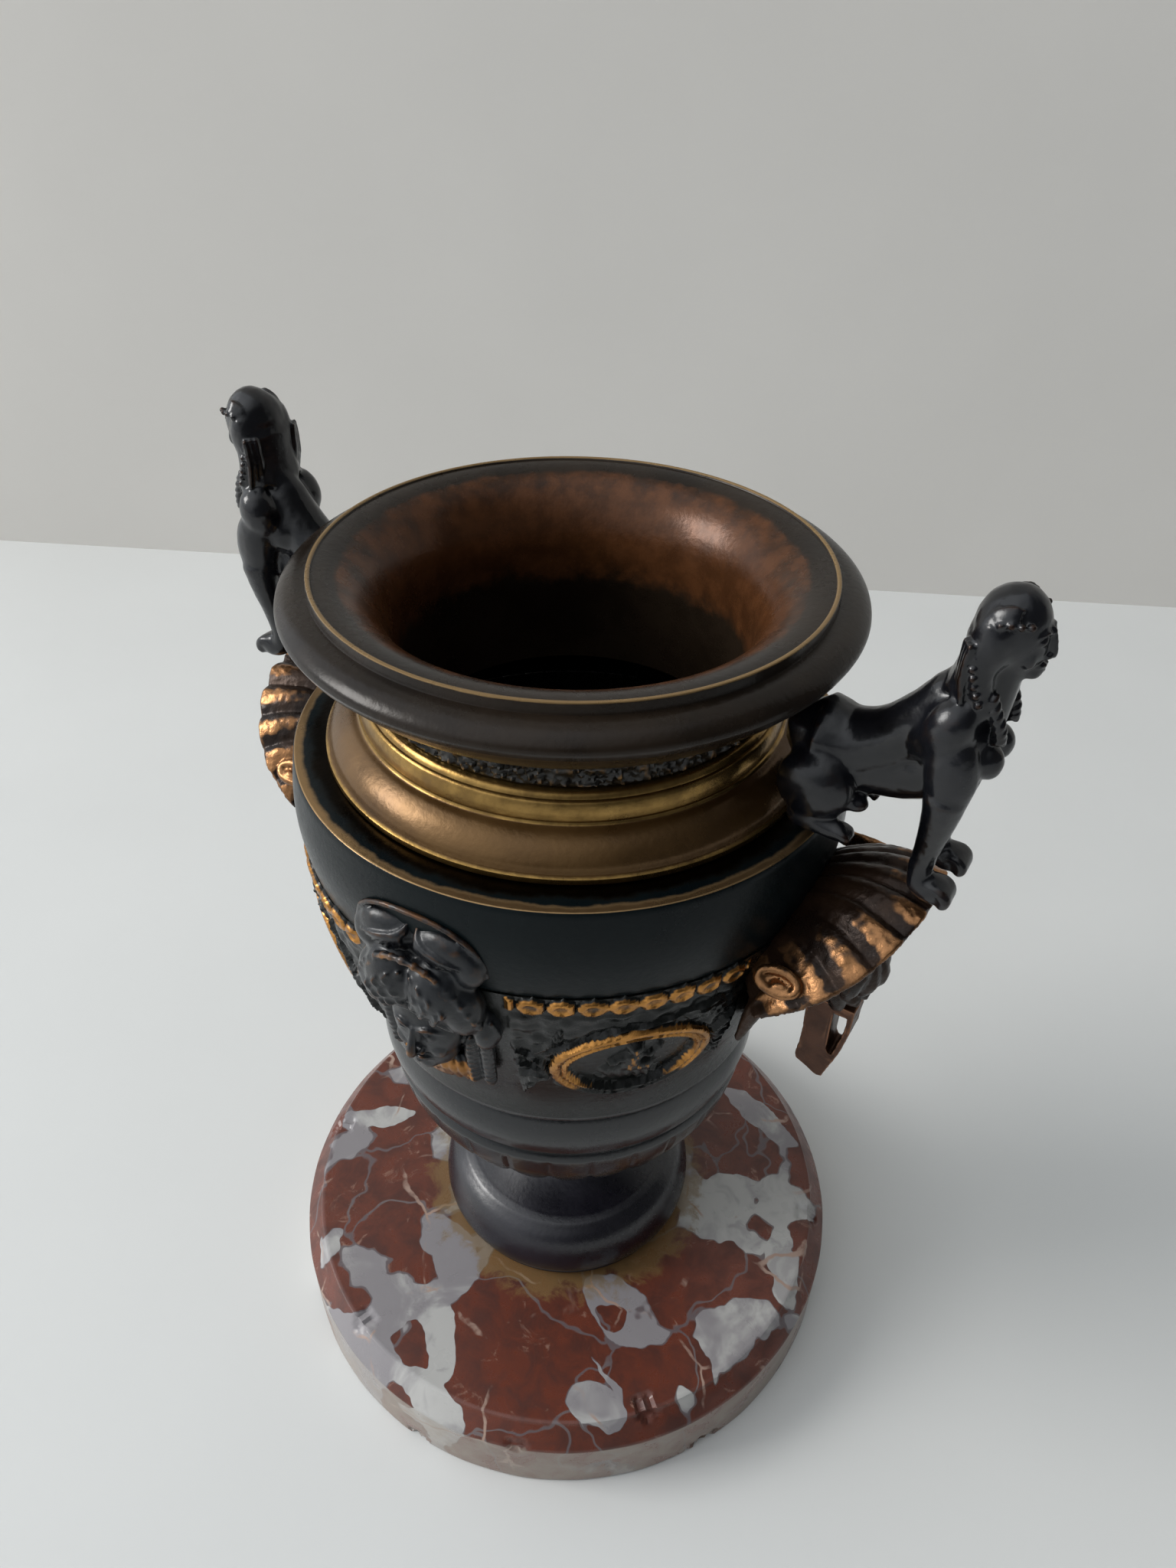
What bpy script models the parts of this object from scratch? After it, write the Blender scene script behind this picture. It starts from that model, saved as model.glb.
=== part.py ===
"""A small bronze Medici vase with sphinx handles, on its round marble base.

Metres, +Z up. The origin is the centre of the base's underside. The handles lie along X and the masks
face -Y and +Y, with the medallions on the diagonals between them.
"""

from math import cos, hypot, pi, radians, sin

import bmesh
import bpy
from mathutils import Matrix, Vector

mm = 0.001
gap = 0.3 * mm  # clearance between pieces that touch

# Marble base
base_radius = 65.0 * mm
base_height = 19.6 * mm
base_bevel_width = 4.0 * mm
base_bevel_drop = 5.0 * mm
chip_size = 2.6 * mm
chip_angles = (200.0, 236.0, 271.0, 292.0, 330.0)  # degrees from +X, round the bevelled edge

# Foot
foot_height = 21.6 * mm
foot_radius = 29.8 * mm
foot_roll = 15.6 * mm  # height of the roll above the marble
foot_tuck = 7.0 * mm
stem_radius = 13.0 * mm

# Bowl
bowl_height = 54.2 * mm
cup_radius = 37.8 * mm
under_radius = 33.2 * mm  # at the leaf tips
band_radius = 39.8 * mm
band_height = 12.6 * mm
cup_height = 39.6 * mm
leaf_count = 28
leaf_depth = 0.9 * mm
leaf_height = 14.0 * mm
wall = 2.2 * mm
floor_thickness = 5.0 * mm

# Frieze
frieze_height = 42.3 * mm
frieze_low_radius = 40.2 * mm
bead_count = 70  # an even number
bead_radius = 2.1 * mm
bead_lift = 1.5 * mm
medallion_half_width = 14.6 * mm
medallion_half_height = 10.6 * mm
medallion_below_top = 20.6 * mm
medallion_sides = 16
frame_width = 2.4 * mm
frame_lift = 1.6 * mm
drapery_lift = 1.1 * mm
plain_under_handle = 27.0  # degrees each side of a handle that stay smooth for its bracket
plain_behind_mask = 21.0  # degrees each side of a mask that stay smooth behind it

# Drum
drum_height = 18.4 * mm
drum_radius = 49.1 * mm
drum_bulge = 1.1 * mm
ledge_thickness = 2.4 * mm

# Shoulder
shoulder_height = 11.4 * mm
shoulder_radius = 43.4 * mm
dome_top_radius = 37.5 * mm
dome_height = 6.8 * mm
step_radius = 35.8 * mm
fillet_height = 1.2 * mm

# Neck
neck_height = 6.4 * mm
neck_radius = 34.4 * mm
bark_ridges = 24
bark_depth = 0.7 * mm

# Rim
rim_height = 14.2 * mm
rim_radius = 48.3 * mm
roll_height = 4.4 * mm
lip_radius = 43.0 * mm
lip_height = 2.0 * mm
funnel_depth = 14.0 * mm  # the trumpet curve from the lip down to the straight throat
throat_radius = 30.3 * mm
throat_wall = 1.8 * mm
throat_below_ledge = 2.0 * mm

# Handles
shell_length = 20.0 * mm  # from the drum's wall to the front edge
shell_half_width = 22.0 * mm
shell_below_ledge = 6.8 * mm
shell_fall = 28.0  # how fast the shell drops to its sides, per metre
shell_thickness = 2.2 * mm
shell_ribs = 9
rib_depth = 1.3 * mm
scroll_radius = 4.2 * mm
loop_depth = 6.0 * mm
loop_from_drum = 2.2 * mm
loop_length = 21.0 * mm
loop_width = 9.8 * mm
loop_in_bar = 4.0 * mm
loop_out_bar = 2.2 * mm
figure_height = 54.2 * mm  # paws to crown

# Masks
mask_height = 46.0 * mm
mask_half_width = 15.5 * mm
mask_turn = 2.5  # degrees the masks are set round from the middle between the handles

# Triangles kept on each free-form piece
sphinx_triangles = 820
mask_triangles = 350
shell_triangles = 460
plain_sides = 32

# Levels up the vase, each from the sizes above
foot_bottom = base_height + gap
bowl_bottom = foot_bottom + foot_height + gap
frieze_bottom = bowl_bottom + bowl_height + gap
drum_bottom = frieze_bottom + frieze_height + gap
shoulder_bottom = drum_bottom + drum_height + gap
neck_bottom = shoulder_bottom + shoulder_height + gap
rim_bottom = neck_bottom + neck_height + gap
rim_top = rim_bottom + rim_height
ledge_level = drum_bottom + drum_height
shell_crest = ledge_level - shell_below_ledge
drum_middle_radius = drum_radius + drum_bulge
throat_outer_radius = throat_radius + throat_wall
sleeve_radius = throat_outer_radius + gap


def clear_scene():
    for item in list(bpy.data.objects):
        bpy.data.objects.remove(item)


def make_material(name, colour, roughness, metallic):
    material = bpy.data.materials.new(name)
    material.use_nodes = True
    shader = material.node_tree.nodes["Principled BSDF"]
    shader.inputs["Base Color"].default_value = (*colour, 1.0)
    shader.inputs["Roughness"].default_value = roughness
    shader.inputs["Metallic"].default_value = metallic
    return material


def make_object(name, mesh, material):
    item = bpy.data.objects.new(name, mesh)
    bpy.context.scene.collection.objects.link(item)
    mesh.materials.clear()
    mesh.materials.append(material)
    mesh.shade_smooth()
    mesh.set_sharp_from_angle(angle=radians(40))
    return item


def arc(centre_r, centre_z, radius_r, radius_z, start, end, steps):
    """Points of an elliptical arc in the (r, z) plane, angles in degrees."""
    points = []
    for i in range(steps + 1):
        a = radians(start + (end - start) * i / steps)
        points.append((centre_r + radius_r * cos(a), centre_z + radius_z * sin(a)))
    return points


def rings_mesh(name, rings):
    """Skin a closed run of rings. A ring may have twice or half the points of the next, or just one."""
    shape = bmesh.new()
    rows = [[shape.verts.new(point) for point in ring] for ring in rings]
    for k, row in enumerate(rows):
        above = rows[(k + 1) % len(rows)]
        few, many = sorted((row, above), key=len)
        n = len(few)
        if len(many) == 1:
            continue
        if n == 1:
            for i in range(len(many)):
                shape.faces.new((few[0], many[i], many[(i + 1) % len(many)]))
            continue
        for i in range(n):
            j = (i + 1) % n
            if len(many) == n:
                shape.faces.new((few[i], few[j], many[j], many[i]))
                continue
            mid, far = many[2 * i + 1], many[2 * j]
            shape.faces.new((few[i], few[j], mid))
            shape.faces.new((few[i], mid, many[2 * i]))
            shape.faces.new((few[j], far, mid))
    bmesh.ops.recalc_face_normals(shape, faces=shape.faces)
    mesh = bpy.data.meshes.new(name)
    shape.to_mesh(mesh)
    shape.free()
    return mesh


def turned_mesh(name, profile, sides, relief=None, doubled=None):
    """Revolve a closed (r, z) outline. relief(angle, r, z) moves a point outwards, r = 0 closes on the axis,
    and the ring number doubled, if given, has twice the sides."""
    rings = []
    for k, (r, z) in enumerate(profile):
        if r == 0.0:
            rings.append([(0.0, 0.0, z)])
            continue
        count = 2 * sides if k == doubled else sides
        ring = []
        for i in range(count):
            angle = 2 * pi * i / count
            out = r + (relief(angle, r, z) if relief else 0.0)
            ring.append((out * cos(angle), out * sin(angle), z))
        rings.append(ring)
    return rings_mesh(name, rings)


def evaluated_mesh(item, name):
    graph = bpy.context.evaluated_depsgraph_get()
    return bpy.data.meshes.new_from_object(item.evaluated_get(graph), preserve_all_data_layers=False,
                                           depsgraph=graph)


def join_solids(name, first, second):
    """Union of two closed meshes."""
    a = bpy.data.objects.new(name, first)
    b = bpy.data.objects.new(name + "_with", second)
    for item in (a, b):
        bpy.context.scene.collection.objects.link(item)
    union = a.modifiers.new("Join", "BOOLEAN")
    union.operation = "UNION"
    union.object = b
    joined = evaluated_mesh(a, name)
    for item in (a, b):
        bpy.data.objects.remove(item)
    return joined


def offset_line(line, distance):
    """An open (r, z) line that runs upwards, moved outwards by a distance."""
    moved = []
    for i, (r, z) in enumerate(line):
        before = line[max(i - 1, 0)]
        after = line[min(i + 1, len(line) - 1)]
        run, rise = after[0] - before[0], after[1] - before[1]
        length = hypot(run, rise)
        moved.append((r + distance * rise / length, z - distance * run / length))
    return moved


def foot_line():
    """The foot's outside, from the marble up: a tall roll tucked in below, then a shallow cove."""
    roll_top = foot_bottom + foot_roll
    top = foot_bottom + foot_height
    roll = arc(foot_radius - foot_tuck, foot_bottom + foot_roll * 0.36,
               foot_tuck, foot_roll * 0.64, -22, 76, 5)
    crease = roll[-1][0]
    cove = [(crease - (crease - stem_radius) * t, roll_top + (top - roll_top) * t ** 1.35)
            for t in (0.15, 0.45, 0.75, 1.0)]
    return [(foot_radius - foot_tuck * 0.17, foot_bottom)] + roll + cove


def leaf_band_radius(drop):
    """The cup's radius a given way below its top, down to the leaf tips."""
    return cup_radius - (cup_radius - under_radius) * (drop / leaf_height) ** 1.8


def bowl_line():
    """The bowl's outside, from its seat on the foot up to the groove under the frieze."""
    seat = bowl_bottom
    cup_top = seat + cup_height
    band_middle = cup_top + 0.8 * mm + band_height / 2
    under_run = under_radius - 0.5 * mm - stem_radius - 1.2 * mm
    under_rise = cup_height - leaf_height - 2.5 * mm
    cup = [(stem_radius + 1.2 * mm + under_run * t, seat + 1.0 * mm + under_rise * t)
           for t in (0.0, 0.33, 0.67, 1.0)]
    cup += [(leaf_band_radius(leaf_height * t), cup_top - leaf_height * t) for t in (1.0, 0.6, 0.1)]
    band = arc(band_radius - 3.4 * mm, band_middle, 3.4 * mm, band_height / 2, -65, 65, 3)
    groove = [(band_radius - 1.0 * mm, bowl_bottom + bowl_height - 1.2 * mm),
              (frieze_low_radius, bowl_bottom + bowl_height)]
    return [(stem_radius, seat)] + cup + [(cup_radius - 0.6 * mm, cup_top)] + band + groove


def leaf_relief(angle, r, z):
    """A raised band of leaves round the cup; their pointed tips hang down over its underside."""
    drop = bowl_bottom + cup_height - z
    if drop < 0.5 * mm or drop > leaf_height * 1.01 or r < leaf_band_radius(drop) - wall / 2:
        return 0.0
    if drop > leaf_height * 0.9:
        return leaf_depth * (0.5 + 0.5 * cos(angle * leaf_count))
    return leaf_depth


def frieze_radius(z):
    """The frieze's smooth wall: a hollow sweep at its foot, then a straight slope out to the drum."""
    up = (z - frieze_bottom) / frieze_height
    slope = frieze_low_radius + (drum_radius - frieze_low_radius) * up
    belly = 0.9 * mm * sin(pi * min(max((up - 0.25) / 0.75, 0.0), 1.0))
    return slope + belly - 0.5 * mm * sin(pi * min(up / 0.3, 1.0))


def angle_from(angle, centre):
    """Signed difference in radians between an angle and a centre."""
    return (angle - centre + pi) % (2 * pi) - pi


def frieze_relief(angle, r, z):
    """Beads along the top and hanging folds below them, between the handles and the masks."""
    top = frieze_bottom + frieze_height
    from_handle = min(abs(angle_from(angle, 0.0)), abs(angle_from(angle, pi)))
    from_mask = min(abs(angle_from(angle, pi / 2)), abs(angle_from(angle, -pi / 2)))
    if from_handle < radians(plain_under_handle) or from_mask < radians(plain_behind_mask):
        return 0.0
    if abs(z - (top - bead_radius)) < 0.3 * mm:
        return bead_lift * (0.5 - 0.5 * cos(angle * bead_count))
    below_top = (top - z) / frieze_height
    if z > top - 2.2 * bead_radius or below_top > 0.6:
        return 0.0
    return drapery_lift * (0.5 + 0.5 * cos(angle * bead_count / 2))


def make_medallion_mesh(turn):
    """One oval medallion on the frieze's wall: raised frame, sunk field and a small standing figure."""
    middle = frieze_bottom + frieze_height - medallion_below_top
    share = frame_width / medallion_half_height
    rows = [(1.0, -1.6 * mm), (1.0, frame_lift * 0.7), (1.0 - share * 0.5, frame_lift),
            (1.0 - share, 0.5 * mm)]
    rings = []

    def on_wall(u, v, lift):
        z = middle + v
        r = frieze_radius(z) + lift
        angle = turn + u / frieze_radius(middle)
        return (r * cos(angle), r * sin(angle), z)

    for size, lift in rows:
        ring = []
        for i in range(medallion_sides):
            a = 2 * pi * i / medallion_sides
            u, v = size * medallion_half_width * cos(a), size * medallion_half_height * sin(a)
            ring.append(on_wall(u, v, lift))
        rings.append(ring)
    for half_width, half_height, lift in ((2.6 * mm, 5.4 * mm, 0.5 * mm), (1.4 * mm, 4.2 * mm, 1.7 * mm)):
        ring = []
        for i in range(medallion_sides // 2):
            a = 4 * pi * i / medallion_sides
            ring.append(on_wall(half_width * cos(a), half_height * sin(a), lift))
        rings.append(ring)
    rings.append([on_wall(0.0, 0.0, 1.8 * mm)])
    rings.append([on_wall(0.0, 0.0, -1.6 * mm)])
    return rings_mesh("medallion", rings)


def make_frieze_mesh():
    """The frieze's ring with twice the points in the bead row, joined with its four medallions."""
    top = frieze_bottom + frieze_height
    heights = [frieze_bottom + frieze_height * up for up in (0.0, 0.14, 0.34, 0.52, 0.70)]
    heights += [top - 2 * bead_radius, top - bead_radius, top]
    columns = [bead_count // 2] * 2 + [bead_count] * 4 + [2 * bead_count, bead_count]
    rings = []
    for z, count in zip(heights, columns):
        ring = []
        for i in range(count):
            angle = 2 * pi * i / count
            r = frieze_radius(z) + frieze_relief(angle, frieze_radius(z), z)
            ring.append((r * cos(angle), r * sin(angle), z))
        rings.append(ring)
    for r, z in ((drum_radius - wall, top), (frieze_low_radius - wall, frieze_bottom)):
        count = bead_count // 2
        rings.append([(r * cos(2 * pi * i / count), r * sin(2 * pi * i / count), z) for i in range(count)])
    mesh = rings_mesh("frieze", rings)
    for k in range(4):
        mesh = join_solids("frieze", mesh, make_medallion_mesh(pi / 4 + k * pi / 2))
    return mesh


def drum_line():
    """The drum's outside wall, slightly bulged, from its foot up to the ledge."""
    quarters = (0, 1, 2, 4)
    return [(drum_radius + drum_bulge * sin(pi * i / 4), drum_bottom + drum_height * i / 4) for i in quarters]


def shoulder_line():
    """Outer fillet, dome and the two gold rings."""
    low = shoulder_bottom
    dome_foot = low + fillet_height
    dome = arc(dome_top_radius - 2.0 * mm, dome_foot, shoulder_radius - dome_top_radius + 1.2 * mm,
               dome_height - 1.4 * mm,
               0, 72, 3)
    first = arc(step_radius, low + dome_height + 1.0 * mm, dome_top_radius - step_radius, 1.4 * mm, -50, 80,
                1)
    top = low + shoulder_height
    second = [(step_radius, top - 1.0 * mm), (step_radius - 0.6 * mm, top)]
    return [(shoulder_radius, low), (shoulder_radius, dome_foot)] + dome + first + second


def neck_line():
    return [(neck_radius, neck_bottom), (neck_radius + 0.4 * mm, neck_bottom + neck_height / 2),
            (neck_radius, neck_bottom + neck_height)]


def bark_relief(angle, r, z):
    """Slanting ridges; none on the inner wall or the end rings."""
    if r < neck_radius + 0.2 * mm:
        return 0.0
    return bark_depth * sin(angle * bark_ridges)


def rim_line():
    """The rim's outside: cove from the neck, rolled edge, raised band and lip."""
    roll_centre = rim_top - lip_height - roll_height / 2
    cove_top = roll_centre - roll_height * 0.6
    cove = arc(neck_radius + 1.2 * mm, cove_top, rim_radius - neck_radius - 1.8 * mm, cove_top - rim_bottom,
               -90, -25, 2)
    cove.insert(0, (neck_radius - 0.2 * mm, rim_bottom))
    roll = arc(rim_radius - 4.6 * mm, roll_centre - 0.4 * mm, 4.6 * mm, roll_height / 2 + 0.4 * mm, -50, 80,
               3)
    return cove + roll + [(lip_radius + 0.3 * mm, rim_top - lip_height), (lip_radius, rim_top - 0.3 * mm)]


def vase_line():
    """Everything outside the drum's foot upwards in one line, for cutting what leans on the vase."""
    return drum_line() + shoulder_line() + neck_line() + rim_line()


def make_marble(material):
    edge = [(0.0, 0.0), (base_radius, 0.0), (base_radius, base_height - base_bevel_drop),
            (base_radius - base_bevel_width, base_height), (0.0, base_height)]
    slab = make_object("marble_base", turned_mesh("marble_base", edge, 64), material)
    chips = bmesh.new()
    for k, degrees in enumerate(chip_angles):
        size = chip_size * (0.7 + 0.3 * (k % 2))
        low = k % 3 == 2
        reach = base_radius + size * 0.35 if low else base_radius - base_bevel_width * 0.5 + size * 0.5
        height = 0.0 if low else base_height - base_bevel_drop * 0.4
        place = Matrix.Translation((reach * cos(radians(degrees)), reach * sin(radians(degrees)), height))
        stretch = Matrix.Rotation(radians(degrees), 4, "Z") @ Matrix.Diagonal((0.6, 1.5, 0.8, 1.0))
        bmesh.ops.create_icosphere(chips, subdivisions=1, radius=size, matrix=place @ stretch)
    mesh = bpy.data.meshes.new("chip_cutters")
    chips.to_mesh(mesh)
    chips.free()
    cutter = make_object("chip_cutters", mesh, material)
    cutter.hide_render = True
    cutter.display_type = "WIRE"
    cut = slab.modifiers.new("Chips", "BOOLEAN")
    cut.operation = "DIFFERENCE"
    cut.object = cutter
    cutter.hide_set(True)
    return slab


def make_turned_pieces(materials):
    foot = foot_line() + [(0.0, foot_bottom + foot_height), (0.0, foot_bottom)]
    make_object("foot", turned_mesh("foot", foot, plain_sides), materials["foot"])

    inner_floor = bowl_bottom + floor_thickness
    lip = bowl_bottom + bowl_height
    cup_top = bowl_bottom + cup_height
    inner = [(frieze_low_radius - wall, lip), (cup_radius - wall, cup_top - 2.0 * mm),
             (under_radius - wall * 1.3, cup_top - leaf_height), (stem_radius + 1.7 * mm, inner_floor),
             (0.0, inner_floor), (0.0, bowl_bottom)]
    bowl = turned_mesh("bowl", bowl_line() + inner, leaf_count, leaf_relief, 5)
    make_object("bowl", bowl, materials["bronze"])

    make_object("frieze", make_frieze_mesh(), materials["bronze"])

    drum_inner = [(sleeve_radius, ledge_level), (sleeve_radius, ledge_level - ledge_thickness),
                  (drum_radius - wall, ledge_level - ledge_thickness), (drum_radius - wall, drum_bottom)]
    make_object("drum", turned_mesh("drum", drum_line() + drum_inner, plain_sides), materials["drum"])

    shoulder_top = shoulder_bottom + shoulder_height
    bore = [(sleeve_radius, shoulder_top), (sleeve_radius, shoulder_bottom)]
    make_object("shoulder", turned_mesh("shoulder", shoulder_line() + bore, plain_sides), materials["gold"])

    neck_top = neck_bottom + neck_height
    bore = [(sleeve_radius, neck_top), (sleeve_radius, neck_bottom)]
    make_object("neck", turned_mesh("neck", neck_line() + bore, 2 * bark_ridges, bark_relief),
                materials["bronze"])

    funnel_edge = lip_radius - 1.0 * mm
    funnel = arc(funnel_edge, rim_top - 0.3 * mm - funnel_depth, throat_radius - funnel_edge, funnel_depth,
                 90, 0, 4)
    throat_end = ledge_level - ledge_thickness - throat_below_ledge
    tube = [(throat_radius, throat_end), (throat_outer_radius, throat_end), (throat_outer_radius, rim_bottom)]
    make_object("rim", turned_mesh("rim", rim_line() + funnel + tube, plain_sides), materials["rim"])


def add_ball(shape, centre, radii, detail=2):
    """One ellipsoid of a free form."""
    place = Matrix.Translation(centre) @ Matrix.Diagonal((*radii, 1.0))
    bmesh.ops.create_icosphere(shape, subdivisions=detail, radius=1.0, matrix=place)


def add_limb(shape, start, start_radius, end, end_radius, flat=1.0):
    """A tapered round-ended limb between two points; flat squeezes it sideways."""
    balls = bmesh.new()
    for centre, radius in ((start, start_radius), (end, end_radius)):
        place = Matrix.Translation(centre) @ Matrix.Diagonal((radius, radius * flat, radius, 1.0))
        bmesh.ops.create_icosphere(balls, subdivisions=2, radius=1.0, matrix=place)
    hull = bmesh.ops.convex_hull(balls, input=balls.verts)
    kept = set(g for g in hull["geom"] if isinstance(g, bmesh.types.BMVert))
    loose = [v for v in balls.verts if v not in kept]
    bmesh.ops.delete(balls, geom=loose, context="VERTS")
    mesh = bpy.data.meshes.new("limb")
    balls.to_mesh(mesh)
    balls.free()
    shape.from_mesh(mesh)
    bpy.data.meshes.remove(mesh)


def skin_over(name, shape, voxel, smooth_rounds):
    """Melt overlapping forms into one closed skin."""
    mesh = bpy.data.meshes.new(name)
    shape.to_mesh(mesh)
    shape.free()
    item = bpy.data.objects.new(name, mesh)
    bpy.context.scene.collection.objects.link(item)
    remesh = item.modifiers.new("Skin", "REMESH")
    remesh.mode = "VOXEL"
    remesh.voxel_size = voxel
    if smooth_rounds:
        smooth = item.modifiers.new("Smooth", "SMOOTH")
        smooth.iterations = smooth_rounds
        smooth.factor = 0.5
    skinned = evaluated_mesh(item, name)
    bpy.data.objects.remove(item)
    return skinned


def thin_out(mesh, triangles):
    """Reduce a skin to about so many triangles."""
    mesh.calc_loop_triangles()
    item = bpy.data.objects.new("thin", mesh)
    bpy.context.scene.collection.objects.link(item)
    decimate = item.modifiers.new("Thin", "DECIMATE")
    decimate.ratio = min(1.0, triangles / max(len(mesh.loop_triangles), 1))
    thinned = evaluated_mesh(item, "thin")
    bpy.data.objects.remove(item)
    return thinned


def cut_with(item, cutters):
    """Cut a piece by hidden helpers."""
    for cutter in cutters:
        cut = item.modifiers.new(cutter.name, "BOOLEAN")
        cut.operation = "DIFFERENCE"
        cut.object = cutter
        cut.solver = "MANIFOLD"


def make_cutter(name, mesh, material):
    cutter = make_object(name, mesh, material)
    cutter.hide_render = True
    cutter.display_type = "WIRE"
    cutter.hide_set(True)
    return cutter


def vase_cutter(material):
    """The vase's outside grown by the gap, filled to the axis, without the carving."""
    frieze = []
    for i in range(5):
        z = frieze_bottom + frieze_height * i / 4
        frieze.append((frieze_radius(z) + gap, z))
    line = offset_line(bowl_line()[-3:] + frieze + vase_line(), gap)
    line = [(line[0][0], line[0][1] - 10 * mm)] + line + [(line[-1][0], line[-1][1] + 5 * mm)]
    outline = line + [(0.0, line[-1][1]), (0.0, line[0][1])]
    return make_cutter("vase_cutter", turned_mesh("vase_cutter", outline, plain_sides), material)


def shell_height(x, y):
    """Height of the shell's top over a point of the right handle."""
    return shell_crest - shell_fall * y * y


def make_shell_mesh():
    """The fan-shaped platform as a grid of rays from the hinge, thickened downwards."""
    rays, steps = 2 * (shell_ribs - 1), 3
    wall_x = drum_radius - 3.0 * mm
    shape = bmesh.new()
    top, bottom = [], []
    for i in range(rays + 1):
        across = -1.0 + 2.0 * i / rays
        row_top, row_bottom = [], []
        for k in range(steps + 1):
            t = k / steps
            turn = radians(90.0 * across)
            edge_x = drum_radius + shell_length * cos(turn)
            edge_y = shell_half_width * sin(turn)
            near_x, near_y = wall_x - abs(across) * 5.0 * mm, shell_half_width * 0.55 * across
            x = near_x + (edge_x - near_x) * t
            y = near_y + (edge_y - near_y) * t
            wave = 0.5 + 0.5 * cos(pi * across * (shell_ribs - 1))
            z = shell_height(x, y) - rib_depth * (1.0 - wave) * t
            row_top.append(shape.verts.new((x, y, z)))
            row_bottom.append(shape.verts.new((x, y, z - shell_thickness * (1.0 if t < 1 else 0.8))))
        top.append(row_top)
        bottom.append(row_bottom)
    for i in range(rays):
        for k in range(steps):
            shape.faces.new((top[i][k], top[i + 1][k], top[i + 1][k + 1], top[i][k + 1]))
            shape.faces.new((bottom[i][k], bottom[i][k + 1], bottom[i + 1][k + 1], bottom[i + 1][k]))
        shape.faces.new((top[i][steps], top[i + 1][steps], bottom[i + 1][steps], bottom[i][steps]))
        shape.faces.new((top[i][0], bottom[i][0], bottom[i + 1][0], top[i + 1][0]))
    for i in (0, rays):
        for k in range(steps):
            shape.faces.new((top[i][k], top[i][k + 1], bottom[i][k + 1], bottom[i][k]))
    bmesh.ops.recalc_face_normals(shape, faces=shape.faces)
    return shape


def add_bracket(shape):
    """Scrolls at the shell's corners, the leaf bracket below and its wings on the vase wall."""
    crest = shell_crest
    wall_x = drum_radius
    for side in (-1, 1):
        y = side * (shell_half_width - 2.0 * mm)
        for k in range(8):
            a = 2 * pi * k / 8
            b = 2 * pi * (k + 1) / 8
            rise = 0.35 * scroll_radius
            start = (wall_x + 2.2 * mm + scroll_radius * 0.8 * cos(a), y, crest - 13.6 * mm + rise * sin(a))
            end = (wall_x + 2.2 * mm + scroll_radius * 0.8 * cos(b), y, crest - 13.6 * mm + rise * sin(b))
            add_limb(shape, start, 1.5 * mm, end, 1.5 * mm, 1.4)
        add_ball(shape, (wall_x + 1.4 * mm, y, crest - 13.8 * mm), (3.0 * mm, 3.4 * mm, 1.6 * mm))
        add_limb(shape, (wall_x + 0.5 * mm, side * 17.5 * mm, crest - 15.0 * mm), 3.0 * mm,
                 (wall_x - 4.0 * mm, side * 16.5 * mm, crest - 29.0 * mm), 1.8 * mm)
        add_limb(shape, (wall_x + 3.0 * mm, side * 10.0 * mm, crest - 11.0 * mm), 3.6 * mm,
                 (wall_x - 5.0 * mm, side * 12.5 * mm, crest - 35.0 * mm), 2.4 * mm)
    add_limb(shape, (wall_x + 12.0 * mm, 0.0, crest - 8.0 * mm), 4.6 * mm,
             (wall_x + 2.0 * mm, 0.0, crest - 24.0 * mm), 5.4 * mm, 1.5)
    add_limb(shape, (wall_x + 2.0 * mm, 0.0, crest - 24.0 * mm), 5.4 * mm,
             (wall_x - 6.0 * mm, 0.0, crest - 37.0 * mm), 3.4 * mm, 1.6)
    add_limb(shape, (wall_x + 7.0 * mm, 0.0, crest - 24.5 * mm), 4.6 * mm,
             (wall_x + 2.0 * mm, 0.0, crest - 27.5 * mm), 4.0 * mm, 1.1)
    for side in (-1, 0, 1):
        add_ball(shape, (wall_x + 13.0 * mm, side * 4.6 * mm, crest - 20.5 * mm),
                 (3.0 * mm, 2.8 * mm, 3.0 * mm))
        add_ball(shape, (wall_x + 14.4 * mm, side * 5.2 * mm, crest - 14.5 * mm),
                 (2.6 * mm, 2.8 * mm, 2.8 * mm))
    add_limb(shape, (wall_x - 2.0 * mm, 0.0, crest - 5.0 * mm), 4.0 * mm,
             (wall_x + 12.0 * mm, 0.0, crest - 4.6 * mm),
             3.0 * mm, 2.6)


def handle_shell_mesh():
    shape = make_shell_mesh()
    add_bracket(shape)
    return thin_out(skin_over("shell", shape, 0.6 * mm, 0), shell_triangles)


def loop_top():
    return shell_crest - 31.2 * mm


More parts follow.
